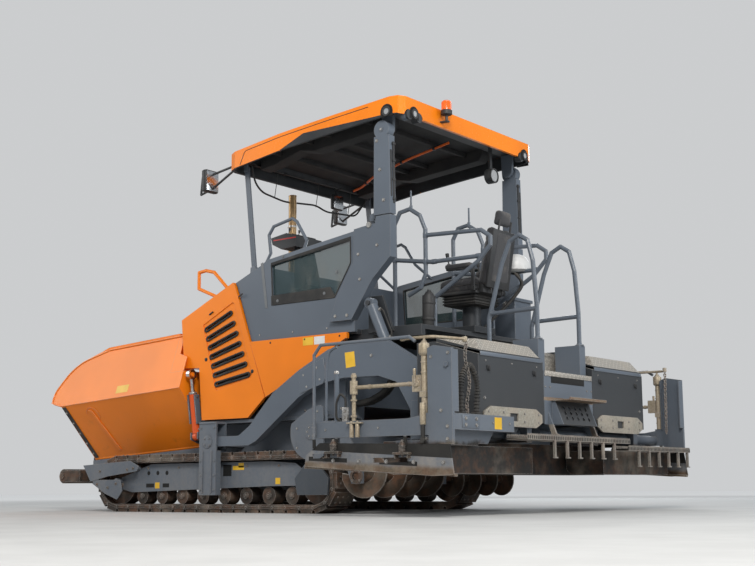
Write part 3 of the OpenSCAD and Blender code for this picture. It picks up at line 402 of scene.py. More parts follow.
def serrated(f, level):
    """Worn step whose notches along its rear wall are painted near black as their shade."""
    x, y, z = f.axes()
    # Painted shade: near-black notches along the rear wall.
    notch_shade = ((y / 0.030).part() > 0.5) * (z > level) * (z < level + 0.028) * (x < -2.9)
    return over(f, notch_shade, steel(f, (0.34, 0.31, 0.27), 0.35, 0.5), moulded(f, (0.010, 0.009, 0.008), 0.8))


def covers(f, dark):
    """Dark cover with a tread plate on top and a dusty metal edge at the rear."""
    x, y, z = f.axes()
    tread = (f.facing()[2] > 0.7) * (z > 1.29)
    front = x < -2.9153
    layer = over(f, tread, paint(f, dark, 0.45, 0.35, 0.3, 0.2, 1.2), chequer(f, TREAD))
    return over(f, front, layer, steel(f, (0.50, 0.46, 0.38), 0.15, 0.7, 0.5, 0.6))


def steps(f, grey, dark):
    """Grey steps: tread plates on top, dark riser, rusty lip and a serrated low step."""
    x, y, z = f.axes()
    nx, ny, nz = f.facing()
    tread = ((nz > 0.7) * (z > 1.2)).most((nx < -0.7) * (z > 1.25) * (x > -2.565))
    low = (z < 0.769) * (x < -2.9)
    lip = (z > 0.9799) * (z < 1.01)
    layer = over(f, tread, paint(f, grey, 0.38, 0.35, 0.5, 0.1, 1.2), chequer(f, TREAD))
    riser = (z > 0.769) * (x < -2.93) * (abs(y) < 0.2995)
    layer = over(f, riser, layer, paint(f, dark, 0.45, 0.35, 0.3, 0.2, 1.2))
    layer = over(f, low, layer, serrated(f, 0.622))
    return over(f, lip, layer, steel(f, (0.24, 0.17, 0.11), 0.6, 0.5, 0.7, 0.3))


def extension_right(f, grey):
    """Extension caked with dried mix low down and near black there also as painted shade, with painted shade
    in the notches of its low step.
    """
    x, y, z = f.axes()
    step = (x < -2.92) * (z < 0.62) * (y > -2.058)
    return over(f, step, soiled_and_shaded(f, grey, 0.585, CRUST_AND_SHADE), serrated(f, 0.562))


def scuttle(f, grey, dark):
    """Grey scuttle with a moulded dark console."""
    x, y, z = f.axes()
    console = ((x < -0.1603) * (y > 0.40)).most(z > 2.5)
    return over(f, console, paint(f, grey, 0.38, 0.25, 0.4), moulded(f, dark))


def deck(f, dark):
    """Dark platform with a tread plate on its floor."""
    tread = f.facing()[2] > 0.9
    return over(f, tread, paint(f, dark, 0.45, 0.35, 0.3), chequer(f, (0.30, 0.30, 0.29)))


def roof_paint(f, orange, dark):
    """Orange shell with a dark inside."""
    x, y, z = f.axes()
    nx, ny, nz = f.facing()
    inward = (((x - ROOF_MID) * nx + y * ny) < -0.05) * (nz < 0.5)
    inner = inward.most((nz < -0.5) * (abs(y) < ROOF_HALF - 0.03) * (abs(x - ROOF_MID) < ROOF_LONG - 0.03))
    # The orange band of each side is narrow over the rear half; what hangs under it is dark.
    under = (abs(y) > ROOF_HALF - 0.03) * (z < 3.622) * (z < 3.335 - x * 0.379)
    return over(f, inner.most(under), paint(f, orange, 0.26, 0.08, 0.15), moulded(f, dark, 0.7, 0.5, 0.1))


def roof_parts(f, grey, dark):
    """Dark fittings, grey cheeks of the posts and the amber beacon."""
    x, y, z = f.axes()
    cheek = (abs(y) > 1.003) * (z < 3.70) * (x > -1.9)
    lamp = z > ROOF_TOP - 0.0205
    layer = over(f, cheek, moulded(f, dark), paint(f, grey, 0.38, 0.2, 0.4))
    return over(f, lamp * (x < -1.9), layer, lens(f, (1.0, 0.16, 0.01)))


FINISH_OF_NODE = {
    "hopper_orange": "wing_left wing_right",
    "hood_orange": "hood_cover hood_door_left hood_door_right",
    "hood_panels": "hood_rear_panels",
    "roof_orange": "roof_shell",
    "roof_parts": "roof_fittings",
    "frame_grey": "chassis_frame track_frames tow_guides auger_frame",
    "screed_soiled_and_shaded": "screed_base",
    "panel_grey": "cabin_sides rear_arches rear_posts front_posts screed_arms",
    "scuttle_grey": "scuttle",
    "rail_grey": "platform_rails screed_hoops lift_barrels",
    "end_plates": "end_plate_left end_plate_right",
    "wheel_steel_and_shade": "track_wheels",
    "dark_paint": "engine_block seat_base mirrors",
    "deck_plate": "platform_deck",
    "cover_plate": "screed_covers",
    "step_plate": "screed_steps",
    "track_steel_and_shade": "track_left track_right push_bar",
    "roller_steel_and_shade": "push_roller_left push_roller_right conveyors",
    "auger_steel_and_shade": "auger_left auger_right",
    "rod_chrome": "wing_rod_left wing_rod_right lift_rods",
    "sleeve_red": "wing_barrel_left wing_barrel_right",
    "extension_grey": "extension_left",
    "extension_step": "extension_right",
    "dusty_metal": "height_gear_left height_gear_right",
    "exhaust_tan": "exhaust_pipe",
    "seat_cover": "seat",
    "window": "cabin_glass",
}

# Each finish: its maker, the name of its paint or its own colour, and its settings.
FINISHES = {
    "hopper_orange": (paint, ["orange"], (0.38, 0.10, 0.6, 0.6, 1.25)),
    "hood_orange": (paint, ["orange"], (0.30, 0.10, 0.25, 0.0, 1.2)),
    "roof_orange": (roof_paint, ["orange", "charcoal"], ()),
    "roof_parts": (roof_parts, ["frame_grey", "charcoal"], ()),
    "hood_panels": (grey_over_orange, ["orange", "frame_grey"], ()),
    "frame_grey": (paint, ["frame_grey"], (0.45, 0.6, 0.6, 0.45, 1.3)),
    # The screed's base: caked low down and near black there also as painted shade of the underside.
    "screed_soiled_and_shaded": (soiled_and_shaded, ["frame_grey"], (0.64, (0.026, 0.023, 0.021))),
    "end_plates": (end_plate, ["frame_grey"], ()),
    "panel_grey": (paint, ["frame_grey"], (0.38, 0.25, 0.4, 0.1, 1.0)),
    "scuttle_grey": (scuttle, ["frame_grey", "charcoal"], ()),
    "rail_grey": (paint, ["frame_grey"], (0.36, 0.3, 0.6, 0.0, 1.0)),
    "dark_paint": (paint, ["charcoal"], (0.45, 0.35, 0.3, 0.2, 1.2)),
    "deck_plate": (deck, ["charcoal"], ()),
    "cover_plate": (covers, ["charcoal"], ()),
    "step_plate": (steps, ["frame_grey", "charcoal"], ()),
    # Caked low down and near black there also as painted shade of the underside.
    "extension_grey": (soiled_and_shaded, ["frame_grey"], (0.585, CRUST_AND_SHADE)),
    "extension_step": (extension_right, ["frame_grey"], ()),
    # Track steel: dirty and rusty, and darkened further as painted shade of the track's runs.
    "track_steel_and_shade": (steel, [(0.060, 0.048, 0.039)], (0.6, 0.35, 0.6, 0.5)),
    # Roller steel: rusty, and darkened further as painted shade under the frames.
    "roller_steel_and_shade": (steel, [(0.10, 0.088, 0.076)], (0.5, 0.35, 0.55, 0.6)),
    "wheel_steel_and_shade": (wheels, [(0.052, 0.064, 0.080)], ()),
    # Auger steel: rust and dried mix, darkened further as painted shade under the screed.
    "auger_steel_and_shade": (steel, [(0.075, 0.052, 0.035)], (0.7, 0.25, 0.65, 0.4)),
    "rod_chrome": (steel, [(0.72, 0.72, 0.72)], (0.0, 0.05, 0.2, 1.0)),
    "dusty_metal": (steel, [(0.50, 0.42, 0.30)], (0.2, 0.8, 0.5, 0.5)),
    "zinc": (steel, [(0.55, 0.54, 0.52)], (0.1, 0.2, 0.35, 0.9)),
    "exhaust_tan": (steel, [(0.50, 0.33, 0.16)], (0.2, 0.15, 0.4, 0.7)),
    "sleeve_red": (paint, [(0.75, 0.10, 0.015)], (0.4, 0.3, 0.4)),
    "tread_plate": (chequer, [TREAD], ()),
    "tread_steel": (steel, [(0.40, 0.37, 0.33)], (0.25, 0.5, 0.5, 0.6)),
    # Near-black sheets painted as the shade in recesses and openings.
    "recess_shade_black": (moulded, [(0.006, 0.006, 0.006)], (0.85, 0.3, 0.05)),
    "black_plastic": (moulded, [(0.022, 0.023, 0.025)], ()),
    "grey_plastic": (moulded, [(0.16, 0.17, 0.18)], ()),
    "black_rubber": (moulded, [(0.018, 0.018, 0.018)], (0.7, 0.4, 0.4)),
    "screen": (grille, [(0.030, 0.030, 0.032)], ()),
    "screen_glass": (lens, [(0.010, 0.014, 0.018)], (0.2,)),
    "tube_orange": (moulded, [(0.80, 0.13, 0.01)], (0.4, 0.1, 0.1)),
    "lining": (moulded, [(0.016, 0.016, 0.017)], (0.8, 0.6, 0.1)),
    "label_yellow": (moulded, [(0.85, 0.50, 0.02)], (0.4, 0.1, 0.3)),
    "label_white": (moulded, [(0.75, 0.75, 0.74)], (0.4, 0.1, 0.15)),
    "red_knob": (moulded, [(0.60, 0.02, 0.015)], (0.35, 0.1, 0.1)),
    "seat_cover": (cloth, [(0.028, 0.028, 0.032)], ()),
    "amber": (lens, [(1.0, 0.16, 0.01)], ()),
    "clear_lens": (lens, [(0.40, 0.41, 0.42)], ()),
    "mirror_glass": (steel, [(0.80, 0.82, 0.84)], (0.0, 0.05, 0.2, 1.0)),
    "window": (pane, [(0.045, 0.075, 0.08)], (0.55,)),
    "floor": (mottle, [(0.50, 0.50, 0.49), (0.56, 0.56, 0.55)], ()),
}
ENAMEL = {"Specular IOR Level": 0.3, "Coat Weight": 0.06, "Coat Roughness": 0.2}
# The shader's fixed values, by maker.
CONSTANTS = {
    paint: ENAMEL,
    grey_over_orange: ENAMEL,
    roof_paint: {"Specular IOR Level": 0.3, "Coat Weight": 0.08, "Coat Roughness": 0.15},
    cloth: {"Sheen Weight": 0.25},
    lens: {"Coat Weight": 0.6},
    mottle: {"Emission Strength": 1.0},
}

MADE = {}


def finish_named(name):
    """Makes a finish once, from the panel's colours."""
    if name not in MADE:
        maker, colours, settings = FINISHES[name]
        values = bpy.context.scene.paver_colours
        colours = [tuple(getattr(values, c)) if isinstance(c, str) else c for c in colours]
        f = Finish(name)
        MADE[name] = f.finish(maker(f, *colours, *settings), CONSTANTS.get(maker, {}))
    return MADE[name]


def dress(obj, name):
    """Gives every material slot of an object one finish."""
    if not obj.material_slots:
        obj.data.materials.append(None)
    for slot in obj.material_slots:
        slot.material = finish_named(name)


# Shapes
MERGE = 1e-5


class Shape:
    """A mesh in the making, in metres, in the frame of the whole machine."""

    def __init__(self, name):
        self.name = name
        self.bm = bmesh.new()

    def block(self, low, high, bevel=0.0, segments=2):
        """A box between two opposite corners."""
        low, high = (Vector([pick(pair) for pair in zip(low, high)]) for pick in (min, max))
        made = bmesh.ops.create_cube(
            self.bm,
            size=1.0,
            matrix=Matrix.Translation((low + high) / 2) @ Matrix.Diagonal((*(high - low), 1.0)),
        )["verts"]
        if bevel:
            self.bevel(made, bevel, segments)
        return made

    def bevel(self, verts, width, segments=2):
        """Rounds every edge at the given vertices."""
        edges = list({e for v in verts for e in v.link_edges})
        bmesh.ops.bevel(
            self.bm,
            geom=edges,
            offset=width,
            offset_type="OFFSET",
            segments=segments,
            profile=0.5,
            affect="EDGES",
            material=-1,
            clamp_overlap=True,
        )

    def rod(self, start, end, radius, radius_end=None, sides=20, bevel=0.0):
        """A round bar or a cone between two places."""
        start, end = Vector(start), Vector(end)
        turn = (end - start).to_track_quat("Z", "Y").to_matrix().to_4x4()
        made = bmesh.ops.create_cone(
            self.bm,
            cap_ends=True,
            segments=sides,
            radius1=radius,
            radius2=radius if radius_end is None else radius_end,
            depth=(end - start).length,
            matrix=Matrix.Translation((start + end) / 2) @ turn,
        )["verts"]
        if bevel:
            caps = [f for f in {f for v in made for f in v.link_faces} if len(f.verts) > 4]
            edges = list({e for f in caps for e in f.edges})
            bmesh.ops.bevel(
                self.bm,
                geom=edges,
                offset=bevel,
                offset_type="OFFSET",
                segments=2,
                profile=0.5,
                affect="EDGES",
                material=-1,
            )
        return made

    def bolt(self, at, out, size=0.012, height=0.008):
        """Hexagonal head on a washer, standing out along out."""
        at, out = Vector(at), Vector(out).normalized()
        self.rod(at, at + out * height * 0.3, size * 1.25, sides=14)
        self.rod(at + out * height * 0.3, at + out * height, size, size * 0.93, sides=6)

    def side_bolts(self, places, y, size, height):
        """Bolts that stand out to the left, from pairs of x and z."""
        for x, z in places:
            self.bolt((x, y, z), (0, 1, 0), size, height)

    def side_plate(self, outline, y, depth, bevel=0.0):
        """A flat outline on the left side, from pairs of x and z."""
        self.plate([(x, y, z) for x, z in outline], (0, 1, 0), depth, bevel)

    def plate(self, points, direction, depth, bevel=0.0):
        """A flat outline, pushed out along a direction."""
        verts = [self.bm.verts.new(p) for p in points]
        face = self.bm.faces.new(verts)
        moved = bmesh.ops.extrude_face_region(self.bm, geom=[face])["geom"]
        tops = [v for v in moved if isinstance(v, bmesh.types.BMVert)]
        bmesh.ops.translate(self.bm, verts=tops, vec=Vector(direction).normalized() * depth)
        if bevel:
            self.bevel(verts + tops, bevel, 1)
        return verts + tops

    def pipe(self, points, radius, sides=12, bend=0.0):
        """A round bar that follows the points, its corners rounded by bend."""
        path = rounded(points, bend)
        ring = None
        for k, at in enumerate(path):
            ahead = path[min(k + 1, len(path) - 1)] - path[max(k - 1, 0)]
            turn = ahead.to_track_quat("Z", "Y").to_matrix().to_4x4()
            made = bmesh.ops.create_circle(
                self.bm, segments=sides, radius=radius, matrix=Matrix.Translation(at) @ turn
            )["verts"]
            edges = list({e for v in made for e in v.link_edges})
            if ring:
                bmesh.ops.bridge_loops(self.bm, edges=ring + edges)
            else:
                bmesh.ops.contextual_create(self.bm, geom=edges)
            ring = edges
        bmesh.ops.contextual_create(self.bm, geom=ring)

    def turned(self, at, out, profile, steps=24):
        """Pairs of radius and height along out, spun round the axis through at."""
        at, out = Vector(at), Vector(out)
        start = Vector((1, 0, 0)) if out.z else Vector((0, 0, 1))
        verts = [self.bm.verts.new(at + start * r + out * h) for r, h in profile]
        edges = [self.bm.edges.new(pair) for pair in zip(verts, verts[1:])]
        bmesh.ops.spin(
            self.bm,
            geom=verts + edges,
            cent=at,
            axis=out,
            angle=math.tau,
            steps=steps,
            use_merge=True,
            use_duplicate=False,
        )

    def pair(self, body, finish, slot):
        """Adds the same shape on the right side, then closes the mesh."""
        geom = self.bm.verts[:] + self.bm.edges[:] + self.bm.faces[:]
        copy = bmesh.ops.duplicate(self.bm, geom=geom)["geom"]
        verts = [v for v in copy if isinstance(v, bmesh.types.BMVert)]
        bmesh.ops.scale(self.bm, vec=(1, -1, 1), verts=verts)
        return self.done(body, finish)

    def done(self, body, finish, smooth=35.0):
        """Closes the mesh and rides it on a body."""
        bmesh.ops.remove_doubles(self.bm, verts=self.bm.verts, dist=MERGE)
        bmesh.ops.recalc_face_normals(self.bm, faces=self.bm.faces)
        mesh = bpy.data.meshes.new(self.name)
        self.bm.to_mesh(mesh)
        self.bm.free()
        obj = bpy.data.objects.new(self.name, mesh)
        bpy.context.scene.collection.objects.link(obj)
        for face in mesh.polygons:
            face.use_smooth = True
        mesh.set_sharp_from_angle(angle=math.radians(smooth))
        dress(obj, finish)
        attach(obj, body)
        return obj


def around(centre, axis, radius, count, start=0.0):
    """Places on a circle round the centre, across the Y axis or the Z axis."""
    for k in range(count):
        turn = math.tau * (k + start) / count
        a, b = radius * math.cos(turn), radius * math.sin(turn)
        yield Vector(centre) + Vector((a, 0, b) if axis == "Y" else (a, b, 0))


def rounded(points, bend, steps=4):
    """A path's points with its corners rounded."""
    points = [Vector(p) for p in points]
    if not bend:
        return points
    path = [points[0]]
    for before, at, after in zip(points, points[1:], points[2:]):
        reach = min(bend, (before - at).length * 0.45, (after - at).length * 0.45)
        start = at + (before - at).normalized() * reach
        end = at + (after - at).normalized() * reach
        for k in range(steps + 1):
            t = k / steps
            path.append(start.lerp(at, t).lerp(at.lerp(end, t), t))
    path.append(points[-1])
    return path


# Values in the panel
class PaverColours(PropertyGroup):
    """Paint colours that a user would change."""

    orange: FloatVectorProperty(
        name="Orange", description="Hopper, hood and roof", subtype="COLOR", default=(0.93, 0.235, 0.008)
    )
    frame_grey: FloatVectorProperty(
        name="Frame grey", description="Frame, arms and posts", subtype="COLOR", default=(0.115, 0.137, 0.168)
    )
    charcoal: FloatVectorProperty(
        name="Charcoal", description="Dark housings", subtype="COLOR", default=(0.030, 0.033, 0.037)
    )


class PaverStage(PropertyGroup):
    """Camera, floor and light."""

    lens: FloatProperty(name="Lens", description="Focal length in millimetres", default=60.06)
    floor_size: FloatProperty(name="Floor", description="Edge of the floor", default=60.0, unit="LENGTH")
    light: FloatProperty(name="Light", description="Strength of the softboxes", default=1.0)


# Pieces
class PAVER_OT_finishes(Operator):
    """Gives each carried-over node its finish"""

    bl_idname = "paver.finishes"
    bl_label = "Node finishes"

    def execute(self, context):
        for finish, nodes in FINISH_OF_NODE.items():
            for node in nodes.split():
                dress(NODES[node], finish)
        return {"FINISHED"}


# Sizes that several pieces share: the track's loop, then outer faces and the platform's floor.
SHOES = 42
WHEELBASE = 2.73
SPROCKET_X = -0.9
LOOP_R = 0.29
PITCH_R = 0.262
TRACK_OUT = 1.2
CHEEK_Y = 1.14
HOOD_Y = 1.12
ARM_Y = 1.245
CABIN_OUT = 1.1
POST_OUT = 1.15
FLANK_Y = 2.090
DECK_Z = 1.68
PIN_H = -0.026
SHOE_H = 0.028
RISE = math.radians(3.4)


def loop_point(s, h):
    """Point of the track's loop at s along its pitch line and h outside it, with the way ahead."""
    arc = math.pi * PITCH_R
    s = s % (2 * (WHEELBASE + arc))
    r = PITCH_R + h
    if s < WHEELBASE:
        return Vector((SPROCKET_X + s, 0, LOOP_R - r)), Vector((1, 0, 0))
    if s < WHEELBASE + arc:
        a = (s - WHEELBASE) / PITCH_R - math.pi / 2
        at = Vector((SPROCKET_X + WHEELBASE + r * math.cos(a), 0, LOOP_R + r * math.sin(a)))
        return at, Vector((-math.sin(a), 0, math.cos(a)))
    if s < 2 * WHEELBASE + arc:
        return Vector((SPROCKET_X + 2 * WHEELBASE + arc - s, 0, LOOP_R + r)), Vector((-1, 0, 0))
    a = (s - 2 * WHEELBASE - arc) / PITCH_R + math.pi / 2
    return (
        Vector((SPROCKET_X + r * math.cos(a), 0, LOOP_R + r * math.sin(a))),
        Vector((-math.sin(a), 0, math.cos(a))),
    )


def on_hopper(x, y, z):
    """A place given in the hopper's own frame, that leans with the wings' hinges."""
    return Vector(
        (0.8 + x * math.cos(RISE) + z * math.sin(RISE), y, 0.675 - x * math.sin(RISE) + z * math.cos(RISE))
    )


def wing_skin(z):
    """How far out the wing's outer skin stands at height z over its hinge."""
    if z < 0.57:
        return 0.856 + (1.265 - 0.856) * z / 0.57
    return 1.265 + (1.052 - 1.265) * (z - 0.57) / (1.135 - 0.57)


def on_wing(side, points, out=0.0):
    """Places on a wing's outer skin, or out from it, from pairs of x and z."""
    return [on_hopper(x, side * (wing_skin(z) + out), z) for x, z in points]


def roof_at(x):
    """Height of the roof's top surface at x."""
    line = ((-1.915, 0.0), (-1.095, -0.06), (-0.455, -0.115), (0.27, -0.21))
    for (x0, z0), (x1, z1) in zip(line, line[1:]):
        if x <= x1:
            return ROOF_TOP + z0 + (z1 - z0) * (x - x0) / (x1 - x0)
    return ROOF_TOP + line[-1][1]


class PAVER_OT_tracks(Operator):
    """Link plates, pins and shoe bolts of the tracks, roller hubs and idler guards"""

    bl_idname = "paver.tracks"
    bl_label = "Track fittings"

    def execute(self, context):
        pitch = 2 * (WHEELBASE + math.pi * PITCH_R) / SHOES
        links = Shape("track_links")
        bolts = Shape("shoe_bolts")
        y = Vector((0, TRACK_OUT, 0))
        for k in range(SHOES):
            pin = loop_point(k * pitch, PIN_H)[0]
            following = loop_point((k + 1) * pitch, PIN_H)[0]
            along = (following - pin).normalized()
            across = Vector((-along.z, 0, along.x)) * 0.017
            waist = across * 0.62
            middle = (pin + following) / 2
            step = along * 0.018
            proud = 0.004 if k % 2 else 0.0
            links.plate(
                [
                    pin - step + y, pin - across + y, middle - waist + y, following - across + y,
                    following + step + y, following + across + y, middle + waist + y, pin + across + y,
                ],
                (0, 1, 0),
                0.007 + proud,
            )
            links.rod(pin + y, pin + y * 1.0125, 0.011, sides=8)
            shoe, ahead = loop_point((k + 0.5) * pitch, SHOE_H)
            if shoe.z < 0.04:  # The bolts of these shoes would reach the ground.
                continue
            out = Vector((ahead.z, 0, -ahead.x))
            for inset in (0.045, 0.115, 0.19, 0.26):
                for way in (-0.03, 0.03):
                    at = shoe + ahead * way + y - Vector((0, inset, 0))
                    bolts.rod(at, at + out * 0.007, 0.010, sides=6)
        for shape in (links, bolts):
            shape.pair("chassis", "track_steel_and_shade", "worn_steel")

        hubs = Shape("wheel_hubs")
        for k in range(8):
            at = Vector((-0.568 + 0.29657 * k, 1.1147, 0.1623))
            hubs.rod(at, at + Vector((0, 0.012, 0)), 0.034, 0.030, sides=16)
            hubs.bolt(at + Vector((0, 0.012, 0)), (0, 1, 0), 0.013, 0.008)
        idler = Vector((SPROCKET_X + WHEELBASE, CHEEK_Y, LOOP_R))
        hubs.rod(idler, idler + Vector((0, 0.014, 0)), 0.05, 0.044, sides=20)
        for at in around(idler + Vector((0, 0.014, 0)), "Y", 0.034, 6):
            hubs.bolt(at, (0, 1, 0), 0.007, 0.005)
        for x in (-0.42, 0.0, 0.5, 0.95, 1.4):
            hubs.bolt((x, CHEEK_Y, 0.445), (0, 1, 0), 0.011, 0.009)
        hubs.pair("chassis", "roller_steel_and_shade", "charcoal")

        # Plates that stand before each idler, on spacers from the track frame.
        guards = Shape("idler_guards")
        low = [(2.188, 0.296), (2.064, 0.331), (1.735, 0.329), (1.703, 0.213), (1.781, 0.125), (1.975, 0.187)]
        high = [(2.330, 0.486), (1.58, 0.522), (1.446, 0.467), (1.471, 0.414), (1.927, 0.366), (2.203, 0.314)]
        for outline, y in ((low, 1.2185), (high, 1.226)):
            guards.side_plate(outline, y, 0.010, 0.002)
        for x, z in ((1.53, 0.445), (1.62, 0.430)):
            guards.rod((x, CHEEK_Y - 0.002, z), (x, 1.228, z), 0.020, sides=16)
        guards.rod((1.81, CHEEK_Y, 0.315), (1.81, 1.220, 0.315), 0.030, sides=16)
        guards.pair("chassis", "frame_grey", "steel_grey")
        studs = Shape("idler_guard_bolts")
        for x, z, y in (
            (1.53, 0.445, 1.236), (1.62, 0.430, 1.236), (2.05, 0.42, 1.236), (1.80, 0.29, 1.2285),
            (1.93, 0.25, 1.2285), (2.10, 0.285, 1.2285)
        ):
            studs.bolt((x, y - 0.0005, z), (0, 1, 0), 0.013, 0.010)
        studs.pair("chassis", "track_steel_and_shade", "worn_steel")
        return {"FINISHED"}


class PAVER_OT_hopper(Operator):
    """Ribs, rim bead, rubber apron, blank label and cylinder fittings of each wing"""

    bl_idname = "paver.hopper"
    bl_label = "Hopper fittings"

    def execute(self, context):
        for side, name in ((1, "left"), (-1, "right")):
            body = f"wing_{name}_body"
            ribs = Shape(f"wing_ribs_{name}")
            low, high = 0.06, 0.49
            foot = on_hopper(1.30, side * wing_skin(low), low)
            head = on_hopper(1.42, side * wing_skin(high), high)
            wide = Vector((0.05, 0, 0))
            out = Vector((0, side * 0.57, -0.409))
            ribs.plate([foot, foot + wide, head + wide, head], out, 0.012, 0.003)
            arc = []
            for k in range(9):
                turn = math.radians(-50 + 27 * k)
                z = 0.44 + 0.075 * math.sin(turn)
                arc.append(on_hopper(1.435 - 0.09 * math.cos(turn), side * (wing_skin(z) + 0.002), z))
            ribs.pipe(arc, 0.004, 6)
            # The skin goes on behind the rear wall, up to the hood.
            flap = [(0.191, 0.744), (0.0, 0.744), (0.0, 0.89), (0.118, 0.94), (0.125, 1.12), (0.191, 1.128)]
            ribs.plate(on_wing(side, flap), (0, -side, -0.377), 0.010)
            # Folded bead under the rim, and down the cut front edge.
            edge = [
                (1.868, 0.57), (2.052, 0.62), (2.034, 0.755), (1.876, 0.953), (1.70, 1.053), (1.31, 1.128)
            ]
            ribs.pipe(on_wing(side, edge, 0.002), 0.009, 8, 0.12)
            ribs.pipe(
                [on_hopper(x, side * (wing_skin(1.13) + 0.004), 1.135) for x in (0.135, 1.29)], 0.010, 8
            )
            ribs.pipe(on_wing(side, [(0.02, 0.57), (1.86, 0.57)], -0.003), 0.007, 8)
            ribs.done(body, "hopper_orange")

            rubber = Shape(f"wing_apron_{name}")
            corners = [(1.722, 0.01), (1.776, 0.01), (1.856, 0.555), (1.80, 0.555)]
            rubber.plate(on_wing(side, corners), out, 0.010, 0.002)
            rubber.done(body, "black_rubber")

            strip = Shape(f"apron_bolts_{name}")
            for k in range(5):
                z = 0.06 + 0.11 * k
                x = 1.752 + 0.073 * (z / 0.555)
                at = on_wing(side, [(x, z)])[0] + out.normalized() * 0.010
                strip.bolt(at, out, 0.010, 0.007)
            strip.done(body, "zinc")

            label = Shape(f"wing_label_{name}")
            corners = [(0.80, 0.615), (0.985, 0.615), (0.985, 0.695), (0.80, 0.695)]
            label.plate(on_wing(side, corners), (0, side, 0.377), 0.0015)
            label.done(body, "label_yellow")

            low = on_hopper(-0.06, side * 1.095, 0.075)
            high = on_hopper(-0.06, side * 1.150, 0.700)
            way = (high - low).normalized()
            gland = Shape(f"wing_gland_{name}")
            gland.rod(low + way * 0.425, low + way * 0.447, 0.043, 0.043, 20, 0.003)
            gland.rod(low + way * 0.447, low + way * 0.455, 0.028, sides=20)
            for f in (0.07, 0.40):
                port = low + way * f
                gland.rod(port, port + Vector((-0.062, 0, 0)), 0.012, sides=10)
            gland.done(f"wing_barrel_{name}_body", "zinc")
            guard = Shape(f"wing_barrel_guard_{name}")
            for x in (-0.054, 0.042):
                foot = low + way * 0.125 + Vector((x, side * 0.034, 0))
                wide = Vector((0, -side * 0.068, 0.006))
                rise = way * 0.295
                guard.plate([foot, foot + wide, foot + wide + rise, foot + rise], (1, 0, 0), 0.012, 0.002)
            guard.done(f"wing_barrel_{name}_body", "frame_grey")
        return {"FINISHED"}


